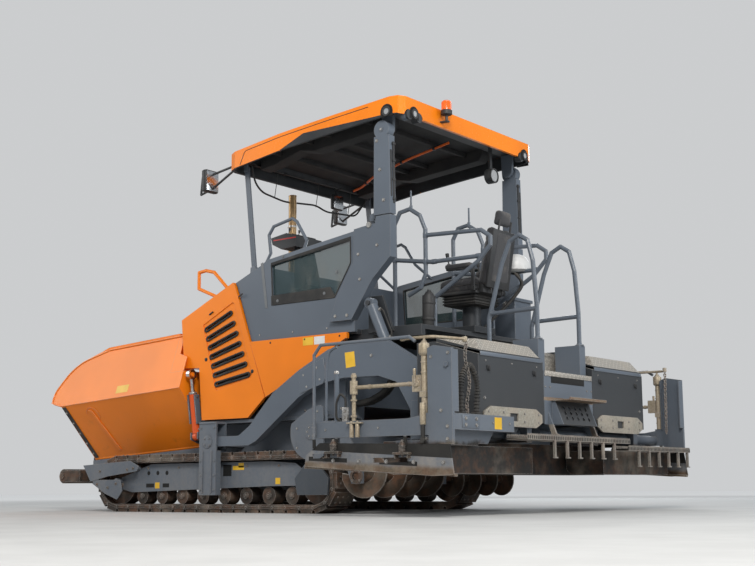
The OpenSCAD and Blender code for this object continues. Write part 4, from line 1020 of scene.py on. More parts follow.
class PAVER_OT_hood(Operator):
    """Screens, louvre blades, latches, seams, bolts and blank labels of the hood"""

    bl_idname = "paver.hood"
    bl_label = "Hood fittings"

    def execute(self, context):
        for side, name in ((1, "left"), (-1, "right")):
            body = f"door_{name}"
            screen = Shape(f"door_screen_{name}")
            inner = 1.0849
            outline = [
                (0.655, 1.885), (0.235, 2.085), (0.20, 2.06), (-0.055, 1.33), (-0.03, 1.285), (0.47, 1.185)
            ]
            screen.plate([(x, side * inner, z) for x, z in outline], (0, -side, 0), 0.006)
            screen.done(body, "screen")

            blades = Shape(f"door_blades_{name}")
            for k in range(7):
                f = k / 6
                start = Vector((0.612 - 0.150 * f, 0, 1.802 - 0.560 * f))
                end = Vector((0.258 - 0.250 * f, 0, 1.985 - 0.630 * f))
                low = Vector((0, 0, 0.010))
                for drop, depth in ((0.0, 1.0885), (0.020, 1.0985)):
                    a = start + low + Vector((0, side * depth, -drop * 0.2))
                    b = end + low + Vector((0, side * depth, -drop * 0.2))
                    thick = Vector((0, side * 0.010, -0.006))
                    blades.plate([a, b, b + thick, a + thick], (0, 0, 1), 0.003)
            blades.done(body, "dark_paint")

            # Black rings round each louvre, painted as the shade of its opening.
            shade_rings = Shape(f"door_louvre_shade_rings_{name}")
            skin = side * (HOOD_Y - 0.004)
            for k in range(7):
                f = k / 6
                a = Vector((0.609 - 0.150 * f, skin, 1.820 - 0.560 * f))
                b = Vector((0.258 - 0.250 * f, skin, 1.965 - 0.630 * f))
                along = (b - a).normalized()
                half = Vector((-along.z, 0, along.x)) * 0.0195
                middle = a.lerp(b, 0.5) + half
                ring = [
                    middle, b + half, b + along * 0.014, b - half,
                    a - half, a - along * 0.014, a + half, middle,
                ]
                shade_rings.pipe(ring, 0.0105, 8, 0.016)
            shade_rings.done(body, "black_rubber")

            fittings = Shape(f"door_fittings_{name}")
            out = Vector((0, side, 0))
            for x, z in ((-0.042, 1.362), (0.60, 1.52)):
                at = Vector((x, side * (HOOD_Y - 0.001), z))
                fittings.rod(at, at + out * 0.005, 0.020, 0.018, 18, 0.001)
                fittings.rod(at, at + out * 0.009, 0.008, sides=12)
            for x, z in ((0.12, 2.13), (0.53, 1.985)):
                y = side * (HOOD_Y + 0.006)
                fittings.rod((x - 0.025, y, z + 0.011), (x + 0.025, y, z - 0.011), 0.008, sides=10)
            fittings.done(body, "black_plastic")

        trim = Shape("hood_rear_seams")
        seam = [
            (-0.228, HOOD_Y, 1.103), (-0.577, HOOD_Y, 1.262), (-0.846, HOOD_Y, 1.402), (-1.225, HOOD_Y, 1.598)
        ]
        trim.pipe(seam, 0.004, 6)
        trim.side_bolts(((-1.15, 1.625), (-0.72, 1.625), (-0.28, 1.625)), HOOD_Y, 0.008, 0.005)
        trim.pair("chassis", "black_plastic", "charcoal")

        grey = Shape("side_panel_bolts")
        grey.side_bolts(
            ((-1.14, 0.955), (-0.70, 0.955), (-0.25, 0.955), (-1.14, 1.34), (-0.62, 1.17), (-0.9, 1.3)),
            SHELF_Y - 0.0001, 0.010, 0.006
        )
        grey.pair("chassis", "zinc", "bright_steel")

        for name, low, high, finish in (
            ("panel_label_yellow", (-0.83, 1.565), (-0.70, 1.64), "label_yellow"),
            ("panel_label_white", (-0.97, 1.565), (-0.84, 1.64), "label_white"),
        ):
            label = Shape(name)
            label.block((low[0], HOOD_Y - 0.001, low[1]), (high[0], HOOD_Y + 0.0015, high[1]))
            label.pair("chassis", finish, "orange")

        top = Shape("hood_top_details")
        slope = Vector((0.730, 0, -0.320)).normalized()
        out = Vector((0.320, 0, 0.730)).normalized()
        for k in range(7):
            at = Vector((0.36, 0, 2.2152)) + slope * (0.045 * k)
            half = Vector((0, 0.42, 0))
            far = at + slope * 0.020
            top.plate([at - half, at + half, far + half, far - half], out, 0.006, 0.002)
        for y in (-0.55, 0.55):
            at = Vector((0.86, y, 1.9960))
            top.rod(at, at + out * 0.012, 0.022, 0.020, 16, 0.002)
        top.done("chassis", "black_plastic")
        return {"FINISHED"}


class PAVER_OT_cabin(Operator):
    """Window seals, lower strip, trims and bolts of the cabin's sides"""

    bl_idname = "paver.cabin"
    bl_label = "Cabin fittings"

    def execute(self, context):
        seal = Shape("window_seals")
        line = [
            (-0.270, 2.390), (-1.270, 2.530), (-1.270, 2.300), (-1.075, 1.995), (-0.290, 1.995),
            (-0.270, 2.390)
        ]
        for y in (CABIN_OUT, 1.0605):
            seal.pipe([(x, y, z) for x, z in line], 0.007, 8, 0.02)
        strip = [(-0.272, 1.990), (-0.268, 2.088), (-1.02, 2.100), (-1.085, 2.004), (-1.08, 1.990)]
        seal.side_plate(strip, CABIN_OUT - 0.002, 0.005, 0.001)
        bar = [(-0.262, 2.385), (-0.265, 2.415), (-1.275, 2.552), (-1.275, 2.512)]
        seal.side_plate(bar, CABIN_OUT - 0.002, 0.006, 0.001)
        seal.pair("chassis", "black_rubber", "charcoal")

        trim = Shape("cabin_trims")
        corner = [(-0.127, 2.423), (-0.160, 2.434), (-0.224, 1.972), (-0.192, 1.972)]
        trim.side_plate(corner, CABIN_OUT - 0.001, 0.005, 0.001)
        for x, z in ((-0.356, 2.030), (-0.95, 2.045), (-0.42, 2.46), (-1.10, 2.235)):
            trim.bolt((x, CABIN_OUT + (0.003 if z < 2.1 else 0.0), z), (0, 1, 0), 0.013, 0.007)
        trim.pair("chassis", "grey_plastic", "steel_grey")

        arch = Shape("arch_bolts")
        arch.side_bolts(
            ((-1.122, 1.806), (-1.262, 1.804), (-1.418, 2.124), (-1.40, 2.36), (-1.62, 2.42)), POST_OUT,
            0.013, 0.009
        )
        arch.side_bolts(((-0.12, 1.715), (-0.55, 1.71), (-0.98, 1.71)), CABIN_OUT, 0.008, 0.005)
        arch.rod((-1.53, POST_OUT - 0.001, 2.62), (-1.53, POST_OUT + 0.010, 2.62), 0.03, 0.026, 20)
        arch.pair("chassis", "zinc", "bright_steel")
        return {"FINISHED"}


class PAVER_OT_canopy(Operator):
    """Lining, ducts, tube, lamps, beacon, seams, mirrors and wiring of the canopy, and post fittings"""

    bl_idname = "paver.canopy"
    bl_label = "Canopy fittings"

    def execute(self, context):
        skin = 0.029
        lining = Shape("roof_lining")
        xs = [-1.58, -1.095, -0.455, 0.12]
        for x0, x1 in zip(xs, xs[1:]):
            lining.plate(
                [
                    (x0, -0.72, roof_at(x0) - skin - 0.012), (x1, -0.72, roof_at(x1) - skin - 0.012),
                    (x1, 0.72, roof_at(x1) - skin - 0.012), (x0, 0.72, roof_at(x0) - skin - 0.012),
                ],
                (0, 0, 1),
                0.011,
            )
        for x in (-1.35, -0.85, -0.60, -0.18):
            lining.block(
                (x - 0.02, -0.98, roof_at(x) - 0.085), (x + 0.02, 0.98, roof_at(x) - skin - 0.006), 0.004
            )
        lining.done("canopy", "lining")

        ducts = Shape("roof_side_ducts")
        outline = [
            (-1.57, -0.10), (-1.52, -0.155), (-0.62, -0.158), (-0.44, -0.105), (-0.10, -0.150), (0.10, -0.150)
        ]
        points = [(x, roof_at(x) + dz) for x, dz in outline]
        back = [(x, roof_at(x) - skin - 0.001) for x in (0.10, -0.455, -1.095, -1.57)]
        ducts.plate([(x, 0.72, z) for x, z in points + back], (0, 1, 0), 0.155, 0.006)
        ducts.pair("canopy", "lining", "charcoal")

        tube = Shape("roof_tube")
        route = [(0.08, -0.62), (-0.05, -0.60), (-0.359, -0.426), (-0.953, -0.245), (-1.56, -0.12)]
        tube.pipe([(x, y, roof_at(x) - 0.100) for x, y in route], 0.013, 10, 0.08)
        tube.done("canopy", "tube_orange")
        clips = Shape("roof_tube_clips")
        for x, y in ((-0.18, -0.53), (-0.60, -0.352), (-0.85, -0.276), (-1.35, -0.166)):
            clips.block(
                (x - 0.015, y - 0.022, roof_at(x) - 0.116), (x + 0.015, y + 0.022, roof_at(x) - 0.083), 0.003
            )
        clips.done("canopy", "black_plastic")

        rear = -1.921
        lamps = Shape("roof_lamp_lenses")
        rings = Shape("roof_lamp_rings")
        z = ROOF_TOP - 0.145
        # Near-black arches behind the lamps, painted as the shade of the roof's notches.
        lamp_notch_shade = Shape("roof_lamp_recess_shades")
        curve = [(0.070 * math.cos(math.pi * k / 12), 0.070 * math.sin(math.pi * k / 12)) for k in range(13)]
        arch = [(0.070, -0.050), *curve, (-0.070, -0.050)]
        ring = [(0.048, 0.0), (0.047, 0.012), (0.030, 0.012), (0.029, 0.0)]
        for x, y, out, proud in (
            (rear, -0.985, (-1, 0, 0), 0.002), (rear, 0.960, (-1, 0, 0), 0.002),
            (-1.775, ROOF_HALF, (0, 1, 0), 0.0), (-1.775, -ROOF_HALF, (0, -1, 0), 0.0),
        ):
            at, out = Vector((x, y, z)), Vector(out)
            across = Vector((abs(out.y), abs(out.x), 0))
            lamp_notch_shade.plate([at + across * a + Vector((0, 0, b)) for a, b in arch], out, 0.003)
            base = at + out * proud
            lamps.rod(base, base + out * 0.008, 0.031, 0.028, 24)
            rings.turned(base, out, ring)
        lamp_notch_shade.done("canopy", "recess_shade_black")
        z = ROOF_TOP - 0.39
        lamps.rod((-1.739, -0.67, z), (-1.746, -0.67, z), 0.066, 0.060, 28)
        ring = [(0.078, 0.0), (0.078, 0.012), (0.065, 0.012), (0.064, 0.0)]
        rings.turned((-1.74, -0.67, z), (-1, 0, 0), ring)
        rings.rod((-1.662, -0.67, z), (-1.655, -0.67, z), 0.055, 0.045, 20)
        lamps.done("canopy", "clear_lens")
        rings.done("canopy", "black_plastic")

        x, y = -1.977, 0.515
        dome = Shape("beacon_dome")
        base = ROOF_TOP - 0.021
        profile = [
            (0.0, 0.106), (0.020, 0.104), (0.036, 0.097), (0.0455, 0.082), (0.0465, 0.004), (0.0475, 0.0)
        ]
        dome.turned((x, y, base), (0, 0, 1), profile, 32)
        for at in around((x, y, base + 0.006), "Z", 0.0462, 16):
            dome.rod(at, at + Vector((0, 0, 0.074)), 0.0022, sides=6)
        dome.done("canopy", "amber")
        collar = Shape("beacon_collar")
        profile = [(0.050, -0.040), (0.0545, -0.036), (0.0545, 0.002), (0.049, 0.006)]
        collar.turned((x, y, base), (0, 0, 1), profile, 32)
        profile = [(0.014, -0.048), (0.034, -0.041), (0.050, -0.0395)]
        collar.turned((x, y, base), (0, 0, 1), profile)
        collar.block(
            (x - 0.022, y - 0.024, ROOF_TOP - 0.133), (x + 0.022, y + 0.024, ROOF_TOP - 0.1295), 0.001
        )
        collar.done("canopy", "black_plastic")

        seam = Shape("roof_seams")
        side_line = [(x, ROOF_HALF - 0.0005, roof_at(x) - 0.036) for x in (-1.56, -1.095, -0.455, 0.02)]
        seam.pipe(side_line + [(0.085, ROOF_HALF - 0.0005, roof_at(0.085) - 0.16)], 0.004, 6, 0.03)
        seam.pair("canopy", "black_rubber", "charcoal")

        glass = Shape("mirror_glasses")
        shell = Shape("mirror_shells")
        for side in (1, -1):
            y = side * 1.06
            z = ROOF_TOP - 0.41
            shell.block((0.606, y - 0.098, z - 0.118), (0.664, y + 0.098, z + 0.118), 0.022, 3)
            glass.block((0.602, y - 0.084, z - 0.104), (0.607, y + 0.084, z + 0.104), 0.002)
            for dz in (-0.09, 0.09):
                shell.block((0.655, y - 0.02, z + dz - 0.016), (0.690, y + 0.02, z + dz + 0.016), 0.004)
        glass.done("canopy", "mirror_glass")
        shell.done("canopy", "black_plastic")

        inner = Shape("canopy_inner_mirror")
        front = ROOF_TOP - 0.28
        inner.rod((0.16, -0.38, front + 0.01), (0.13, -0.38, front - 0.10), 0.009, sides=10)
        inner.block((0.10, -0.47, front - 0.26), (0.15, -0.29, front - 0.09), 0.02, 3)
        inner.done("canopy", "black_plastic")
        inner_glass = Shape("canopy_inner_mirror_glass")
        inner_glass.block((0.096, -0.458, front - 0.248), (0.101, -0.302, front - 0.102), 0.002)
        inner_glass.done("canopy", "mirror_glass")

        wiring = Shape("roof_wiring")
        wiring.pipe(
            [
                (0.15, 0.97, front + 0.03), (0.13, 0.93, front - 0.004), (0.14, 0.6, front - 0.008),
                (0.14, 0.2, front - 0.008), (0.13, -0.3, front - 0.006), (0.14, -0.7, front - 0.006),
                (0.15, -0.95, front + 0.03)
            ],
            0.009,
            8,
            0.05,
        )
        wiring.pipe(
            [
                (0.15, 0.95, front - 0.004), (0.19, 0.86, front - 0.17), (0.20, 0.74, front - 0.25),
                (0.20, 0.40, front - 0.29), (0.20, -0.11, front - 0.24), (0.20, -0.29, front - 0.285),
                (0.20, -0.80, front - 0.25), (0.15, -0.97, front - 0.004)
            ],
            0.010,
            8,
            0.07,
        )
        for y in (0.55, -0.11, -0.66):
            wiring.rod((0.15, y, front - 0.002), (0.198, y, front - 0.262), 0.004, sides=6)
        for y in (0.9, 0.45, 0.0, -0.45, -0.85):
            wiring.block((0.115, y - 0.012, front - 0.018), (0.165, y + 0.012, front + 0.001), 0.002)
        wiring.done("canopy", "black_plastic")

        posts = Shape("post_caps")
        posts.side_bolts(
            ((-1.68, 3.50), (-1.625, 3.40), (-1.66, 3.12), (-1.70, 2.83)), POST_OUT, 0.014, 0.010
        )
        posts.pair("rear_post_pair", "zinc", "bright_steel")

        strip = Shape("post_cable_ducts")
        strip.block((-1.7655, 1.075, 2.80), (-1.7800, 1.100, 3.38), 0.004)
        strip.block((-1.7655, 1.110, 2.86), (-1.7745, 1.135, 3.30), 0.003)
        for z in (2.84, 3.02, 3.20, 3.36):
            strip.block((-1.7655, 1.068, z - 0.010), (-1.785, 1.107, z + 0.010), 0.002)
        strip.pair("rear_post_pair", "black_plastic", "charcoal")
        return {"FINISHED"}


class PAVER_OT_console(Operator):
    """Keys, display, edge strips, levers and column details of the operator's console"""

    bl_idname = "paver.console"
    bl_label = "Console fittings"

    def execute(self, context):
        # The console's top falls from the front edge to the rear, where the operator sits.
        front = Vector((0.080, 0, 2.760))
        ridge = Vector((-0.130, 0, 2.790))
        rear = Vector((-0.260, 0, 2.750))
        keys = Shape("console_keys")
        flat = (ridge - front).normalized()
        up = Vector((0.030, 0, 0.210)).normalized()
        for i in range(3):
            for k in range(7):
                at = front + flat * (0.045 + 0.05 * i) + Vector((0, 0.385 + 0.048 * k, 0)) - up * 0.001
                side = Vector((0, 0.016, 0))
                deep = flat * 0.015
                keys.plate(
                    [at - side - deep, at + side - deep, at + side + deep, at - side + deep], up, 0.006, 0.002
                )
        keys.done("chassis", "grey_plastic")

        panel = Shape("console_display")
        slope = (rear - ridge).normalized()
        out = Vector((-0.04, 0, 0.13)).normalized()
        at = ridge + slope * 0.012 - out * 0.001
        low, high = Vector((0, 0.40, 0)), Vector((0, 0.66, 0))
        deep = slope * 0.105
        panel.plate([at + low, at + high, at + high + deep, at + low + deep], out, 0.010, 0.003)
        panel.done("chassis", "black_plastic")
        glass = Shape("console_screen")
        at = ridge + slope * 0.022 + out * 0.0085
        low, high = Vector((0, 0.415, 0)), Vector((0, 0.645, 0))
        deep = slope * 0.085
        glass.plate([at + low, at + high, at + high + deep, at + low + deep], out, 0.0012)
        glass.done("chassis", "screen_glass")

        strip = Shape("console_edge_strip")
        strip.block((-0.258, 0.3285, 2.726), (0.045, 0.3305, 2.738))
        strip.block((-0.258, 0.7295, 2.726), (0.045, 0.7315, 2.738))
        strip.done("chassis", "red_knob")

        levers = Shape("console_levers")
        for y in (0.47, 0.62):
            foot = Vector((-0.06, y, 2.778))
            levers.rod(foot, foot + Vector((-0.004, 0, 0.014)), 0.024, 0.016, 16)
            levers.rod(foot + Vector((0, 0, 0.008)), foot + Vector((-0.014, 0, 0.062)), 0.005, sides=10)
            tip = foot + Vector((-0.014, 0, 0.058))
            levers.rod(tip, tip + Vector((-0.004, 0, 0.030)), 0.010, 0.013, 14, 0.003)
        levers.done("chassis", "black_plastic")

        column = Shape("console_column_details")
        for z in (2.34, 2.46, 2.58):
            x = -0.27 + (z - 2.25) * 0.244
            column.block((x - 0.064, 0.44, z), (x, 0.62, z + 0.010), 0.002)
        column.done("chassis", "black_plastic")
        return {"FINISHED"}


SEAT_AT = Vector((-1.880, 0.0, 1.9403))
SEAT_LEAN = Matrix.Rotation(math.radians(-10), 4, "Y")
PAD_VOXEL = 0.007
PAD_FRAMES = 20


def in_seat(point, leaning=False):
    """A place given from the seat's foot, leaning with its back where asked."""
    point = Vector(point)
    return SEAT_AT + (SEAT_LEAN @ point if leaning else point)


def upholstery(name, low, high, leaning, pull, waist=0.0):
    """A cushion: a rounded block that is blown up as cloth, then capped and smoothed."""
    shape = Shape(name)
    verts = shape.block(low, high, 0.030, 3)
    low, high = Vector(low), Vector(high)
    if waist:
        for v in shape.bm.verts:
            f = (v.co.z - low.z) / (high.z - low.z)
            v.co.y *= 1.0 - waist * f
    for v in shape.bm.verts:
        v.co = in_seat(v.co, leaning)
    obj = shape.done("seat_body", "seat_cover", smooth=180)
    remesh = obj.modifiers.new("remesh", "REMESH")
    remesh.mode = "VOXEL"
    remesh.voxel_size = PAD_VOXEL
    apply_modifiers(obj)
    before = [v.co.copy() for v in obj.data.vertices]
    sheet = obj.modifiers.new("cloth", "CLOTH")
    sheet.settings.quality = 4
    sheet.settings.use_pressure = True
    sheet.settings.uniform_pressure_force = 4.0
    sheet.settings.effector_weights.gravity = 0.0
    sheet.point_cache.frame_start = 1
    sheet.point_cache.frame_end = PAD_FRAMES
    for step in range(1, PAD_FRAMES + 1):
        bpy.context.scene.frame_set(step)
    apply_modifiers(obj)
    bpy.context.scene.frame_set(1)
    for v, start in zip(obj.data.vertices, before):
        moved = v.co - start
        if moved.length > pull:
            v.co = start + moved.normalized() * pull
    smooth = obj.modifiers.new("smooth", "SMOOTH")
    smooth.factor = 0.5
    smooth.iterations = 4
    apply_modifiers(obj)
    for face in obj.data.polygons:
        face.use_smooth = True
    return obj


def apply_modifiers(obj):
    """Sets an object's mesh to what its modifiers show."""
    graph = bpy.context.evaluated_depsgraph_get()
    mesh = bpy.data.meshes.new_from_object(obj.evaluated_get(graph))
    obj.modifiers.clear()
    old = obj.data
    obj.data = mesh
    bpy.data.meshes.remove(old)


def piping(name, pad, points, radius, leaning):
    """A sewn welt that lies on a pad's surface along the points."""
    path = rounded([in_seat(p, leaning) for p in points], 0.05, 6)
    dense = []
    for a, b in zip(path, path[1:]):
        count = max(1, round((b - a).length / 0.02))
        dense += [a.lerp(b, k / count) for k in range(count)]
    dense.append(path[-1])
    on_skin = [pad.closest_point_on_mesh(p)[1] for p in dense]
    kept = [on_skin[0]]
    for p in on_skin[1:]:
        if (p - kept[-1]).length > 0.008:
            kept.append(p)
    shape = Shape(name)
    shape.pipe(kept, radius, 8)
    return shape.done("seat_body", "black_rubber", smooth=60)


class PAVER_OT_seat(Operator):
    """Operator's seat: padded cushions with sewn welts, shell, bellows, armrests and joystick"""

    bl_idname = "paver.seat"
    bl_label = "Seat"

    def execute(self, context):
        cushion = upholstery("seat_cushion", (-0.215, -0.226, 0.130), (0.236, 0.226, 0.244), False, 0.024)
        back = upholstery("seat_backrest", (-0.255, -0.205, 0.212), (-0.165, 0.205, 0.785), True, 0.024, 0.16)
        head = upholstery("seat_headrest", (-0.258, -0.120, 0.805), (-0.192, 0.120, 0.948), True, 0.016, 0.12)
        z = 0.190
        loop = [
            (-0.215, 0, z), (-0.215, 0.226, z), (0.236, 0.226, z), (0.236, -0.226, z), (-0.215, -0.226, z),
            (-0.215, 0, z)
        ]
        piping("seat_cushion_welt", cushion, loop, 0.004, False)
        for y, name in ((-0.12, "right"), (0.12, "left")):
            line = [(-0.18, y, 0.30), (0.21, y, 0.30)]
            piping(f"seat_cushion_seam_{name}", cushion, line, 0.0025, False)
            line = [(0.0, y, 0.26), (0.0, y * 0.9, 0.74)]
            piping(f"seat_back_seam_{name}", back, line, 0.0025, True)
        x = -0.21
        loop = [
            (x, 0, 0.215), (x, 0.205, 0.215), (x, 0.172, 0.785), (x, -0.172, 0.785), (x, -0.205, 0.215),
            (x, 0, 0.215)
        ]
        piping("seat_back_welt", back, loop, 0.004, True)
        for z in (0.36, 0.50, 0.64):
            line = [(0.0, -0.12, z), (0.0, 0.12, z)]
            piping(f"seat_back_channel_{round(z * 100)}", back, line, 0.0025, True)

        shell = Shape("seat_shell")
        shell.block(in_seat((-0.205, -0.232, 0.100)), in_seat((0.232, 0.232, 0.134)), 0.012, 2)
        for y in (-0.10, 0.10):
            a, b = in_seat((-0.262, y, 0.16), True), in_seat((-0.262, y, 0.86), True)
            shell.rod(a, b, 0.010, sides=10)
        shell.block((-0.275, -0.195, 0.20), (-0.248, 0.195, 0.76), 0.010, 2)
        # The back panel is still about the seat's own foot; the rest already stands in the machine.
        for v in [v for v in shell.bm.verts if v.co.x > -1.0]:
            v.co = in_seat(v.co, True)
        shell.block(in_seat((-0.255, -0.18, 0.105)), in_seat((-0.185, 0.18, 0.225)), 0.010, 2)
        shell.done("seat_body", "black_plastic")

        bellows = Shape("seat_bellows")
        for k in range(7):
            low = 0.004 + 0.0139 * k
            grow = 0.012 if k % 2 else 0.0
            bellows.block(
                in_seat((-0.170 - grow, -0.195 - grow, low)), in_seat(
                    (0.190 + grow, 0.195 + grow, low + 0.0145)
                ), 0.006, 2
            )
        bellows.done("seat_body", "black_rubber")

        arms = Shape("seat_armrests")
        brackets = Shape("seat_arm_brackets")
        for side in (1, -1):
            arms.block(
                in_seat((-0.185, side * 0.265 - 0.033, 0.345)), in_seat((0.105, side * 0.265 + 0.033, 0.390)),
                0.016, 3
            )
            brackets.block(
                in_seat((-0.213, side * 0.262 - 0.012, 0.12)), in_seat((-0.178, side * 0.262 + 0.012, 0.355)),
                0.005
            )
            brackets.block(
                in_seat((-0.190, side * 0.262 - 0.020, 0.332)), in_seat((0.100, side * 0.262 + 0.020, 0.350)),
                0.004
            )
            brackets.rod(
                in_seat((-0.196, side * 0.225, 0.15)), in_seat((-0.196, side * 0.278, 0.15)), 0.020, sides=16
            )
            foot = in_seat((0.075, side * 0.265, 0.385))
            brackets.rod(foot, foot + Vector((0, 0, 0.014)), 0.026, 0.018, 16)
            brackets.rod(foot + Vector((0, 0, 0.010)), foot + Vector((0.012, 0, 0.065)), 0.007, sides=10)
            brackets.rod(
                foot + Vector((0.012, 0, 0.055)), foot + Vector((0.020, 0, 0.120)), 0.014, 0.019, 14, 0.005
            )
        arms.done("seat_body", "seat_cover")
        brackets.done("seat_body", "black_plastic")
        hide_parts("seat")
        return {"FINISHED"}


class PAVER_OT_platform(Operator):
    """Feet and clamps of rails and hoops, lamp, tool box, canister, hoses and lift cylinders' ends"""

    bl_idname = "paver.platform"
    bl_label = "Platform fittings"

    def execute(self, context):
        feet = Shape("rail_feet")
        for x in (-1.335, -1.80):
            feet.rod((x, 0.5, DECK_Z), (x, 0.5, DECK_Z + 0.010), 0.045, 0.045, 20, 0.002)
            feet.rod((x, 0.5, DECK_Z + 0.010), (x, 0.5, DECK_Z + 0.030), 0.030, 0.0225, 20)
            for at in around((x, 0.5, DECK_Z + 0.010), "Z", 0.034, 4, 0.5):
                feet.bolt(at, (0, 0, 1), 0.006, 0.006)
        for at, way in (
            (
                (-1.335, 0.5, 2.400), (0, 0, 1)
            ), ((-1.70, 0.5, 2.345), (0, 0, 1)), ((-1.70, 0.5, 2.600), (0, 0, 1)),
            ((-1.800, 0.5, 2.334), (1, 0, 0)), ((-2.30, 0.5, 2.331), (1, 0, 0)),
        ):
            way = Vector(way) * 0.026
            feet.rod(Vector(at) - way, Vector(at) + way, 0.0245, sides=20, bevel=0.002)
        feet.rod((-1.535, 0.5, 2.870), (-1.535, 0.5, 3.060), 0.009, sides=12, bevel=0.002)
        feet.rod((-1.535, 0.5, 2.862), (-1.535, 0.5, 2.912), 0.016, sides=14, bevel=0.002)
        feet.pair("chassis", "rail_grey", "steel_grey")

        hoops = Shape("hoop_feet")
        for x, z in ((-2.32, 1.470), (-2.83, 1.530)):
            hoops.rod((x, 0.38, z), (x, 0.38, z + 0.009), 0.044, 0.044, 20, 0.002)
            hoops.rod((x, 0.38, z + 0.009), (x, 0.38, z + 0.028), 0.030, 0.0225, 20)
            for at in around((x, 0.38, z + 0.009), "Z", 0.034, 3, 0.25):
                hoops.bolt(at, (0, 0, 1), 0.006, 0.006)
        hoops.pair("screed", "rail_grey", "steel_grey")

        lamp = Shape("platform_globe_lamp")
        centre = Vector((-2.08, -0.5, 2.375))
        profile = [
            (0.0, 0.135), (0.055, 0.128), (0.100, 0.103), (0.131, 0.062), (0.142, 0.012), (0.136, -0.030),
            (0.110, -0.048), (0.0, -0.050)
        ]
        lamp.turned(centre, (0, 0, 1), profile, 32)
        lamp.done("chassis", "label_white")
        neck = Shape("platform_lamp_neck")
        neck.rod((-2.08, -0.5, 2.351), (-2.08, -0.5, 2.328), 0.034, sides=20)
        neck.rod((-2.115, -0.5, 2.332), (-2.045, -0.5, 2.332), 0.026, sides=20, bevel=0.003)
        neck.done("chassis", "black_plastic")

        box = Shape("platform_tool_box")
        box.block((-1.96, -0.98, DECK_Z), (-1.36, -0.66, DECK_Z + 0.40), 0.012, 2)
        box.block((-1.975, -0.993, DECK_Z + 0.395), (-1.345, -0.645, DECK_Z + 0.43), 0.008, 2)
        box.done("chassis", "panel_grey")
        can = Shape("platform_canister")
        can.rod((-1.86, 0.70, DECK_Z), (-1.875, 0.70, DECK_Z + 0.30), 0.052, 0.062, 24, 0.006)
        can.rod((-1.875, 0.70, DECK_Z + 0.298), (-1.877, 0.70, DECK_Z + 0.335), 0.052, 0.030, 24, 0.004)
        can.rod((-1.877, 0.70, DECK_Z + 0.33), (-1.878, 0.70, DECK_Z + 0.355), 0.018, sides=16, bevel=0.003)
        for z in (0.07, 0.22):
            can.rod(
                (-1.863 - z * 0.05, 0.70, DECK_Z + z), (-1.864 - z * 0.05, 0.70, DECK_Z + z + 0.02), 0.062,
                0.063, 24, 0.002
            )
        can.done("chassis", "black_plastic")
        lines = Shape("seat_hose_sleeves")
        for k in range(3):
            d = 0.030 * k
            route = [
                (-2.13, -0.46 + d, 2.30), (-2.19 - d, -0.44 + d, 2.18), (-2.10 - d, -0.33 + d, 2.00),
                (-1.99 - d, -0.18 + d, 1.83), (-1.93, -0.10 + d, DECK_Z + 0.012)
            ]
            lines.pipe(route, 0.013, 10, 0.12)
        lines.done("chassis", "black_rubber")
        latch = Shape("box_latches")
        for x in (-1.85, -1.47):
            latch.block((x - 0.02, -0.664, DECK_Z + 0.345), (x + 0.02, -0.640, DECK_Z + 0.42), 0.003)
            latch.block((x - 0.012, -0.646, DECK_Z + 0.36), (x + 0.012, -0.634, DECK_Z + 0.40), 0.003)
        latch.done("chassis", "zinc")

        hose = Shape("screed_hose_sleeves")
        for y, shift in ((0.905, 0.0), (0.985, 0.03)):
            route = [
                (-1.46, y, 1.60), (-1.57 - shift, y, 1.56), (-1.66 - shift, y, 1.36),
                (-1.60 - shift, y, 1.12), (-1.38, y, 1.01), (-1.199, y, 1.00)
            ]
            hose.pipe(route, 0.027, 12, 0.13)
            way = rounded(route, 0.13)
            for a, b in zip(way[2:-2:2], way[3:-1:2]):
                along = (b - a).normalized()
                hose.rod(a, a + along * 0.012, 0.030, sides=12)
        hose.pair("chassis", "black_rubber", "charcoal")

        ends = Shape("lift_barrel_glands")
        top, low = Vector((-1.500, 1.088, 1.900)), Vector((-1.780, 1.088, 1.290))
        way = (low - top).normalized()
        ends.rod(top + way * 0.424, top + way * 0.444, 0.0555, sides=24, bevel=0.003)
        ends.rod(top + way * 0.444, top + way * 0.452, 0.036, sides=24)
        back = Vector((-0.70, 0, 0.32)).normalized()
        for f in (0.10, 0.385):
            at = top + way * f
            ends.rod(at, at + back * 0.072, 0.013, sides=10)
            ends.rod(at + back * 0.058, at + back * 0.076, 0.016, sides=6)
        ends.pair("lift_barrel_pair", "zinc", "bright_steel")
        tube = Shape("lift_barrel_lines")
        out = back * 0.076
        bulge = back * 0.095
        run = [(0.385, out), (0.36, bulge), (0.13, bulge), (0.10, out)]
        tube.pipe([top + way * f + off for f, off in run], 0.007, 8, 0.02)
        tube.pair("lift_barrel_pair", "black_rubber", "charcoal")
        return {"FINISHED"}


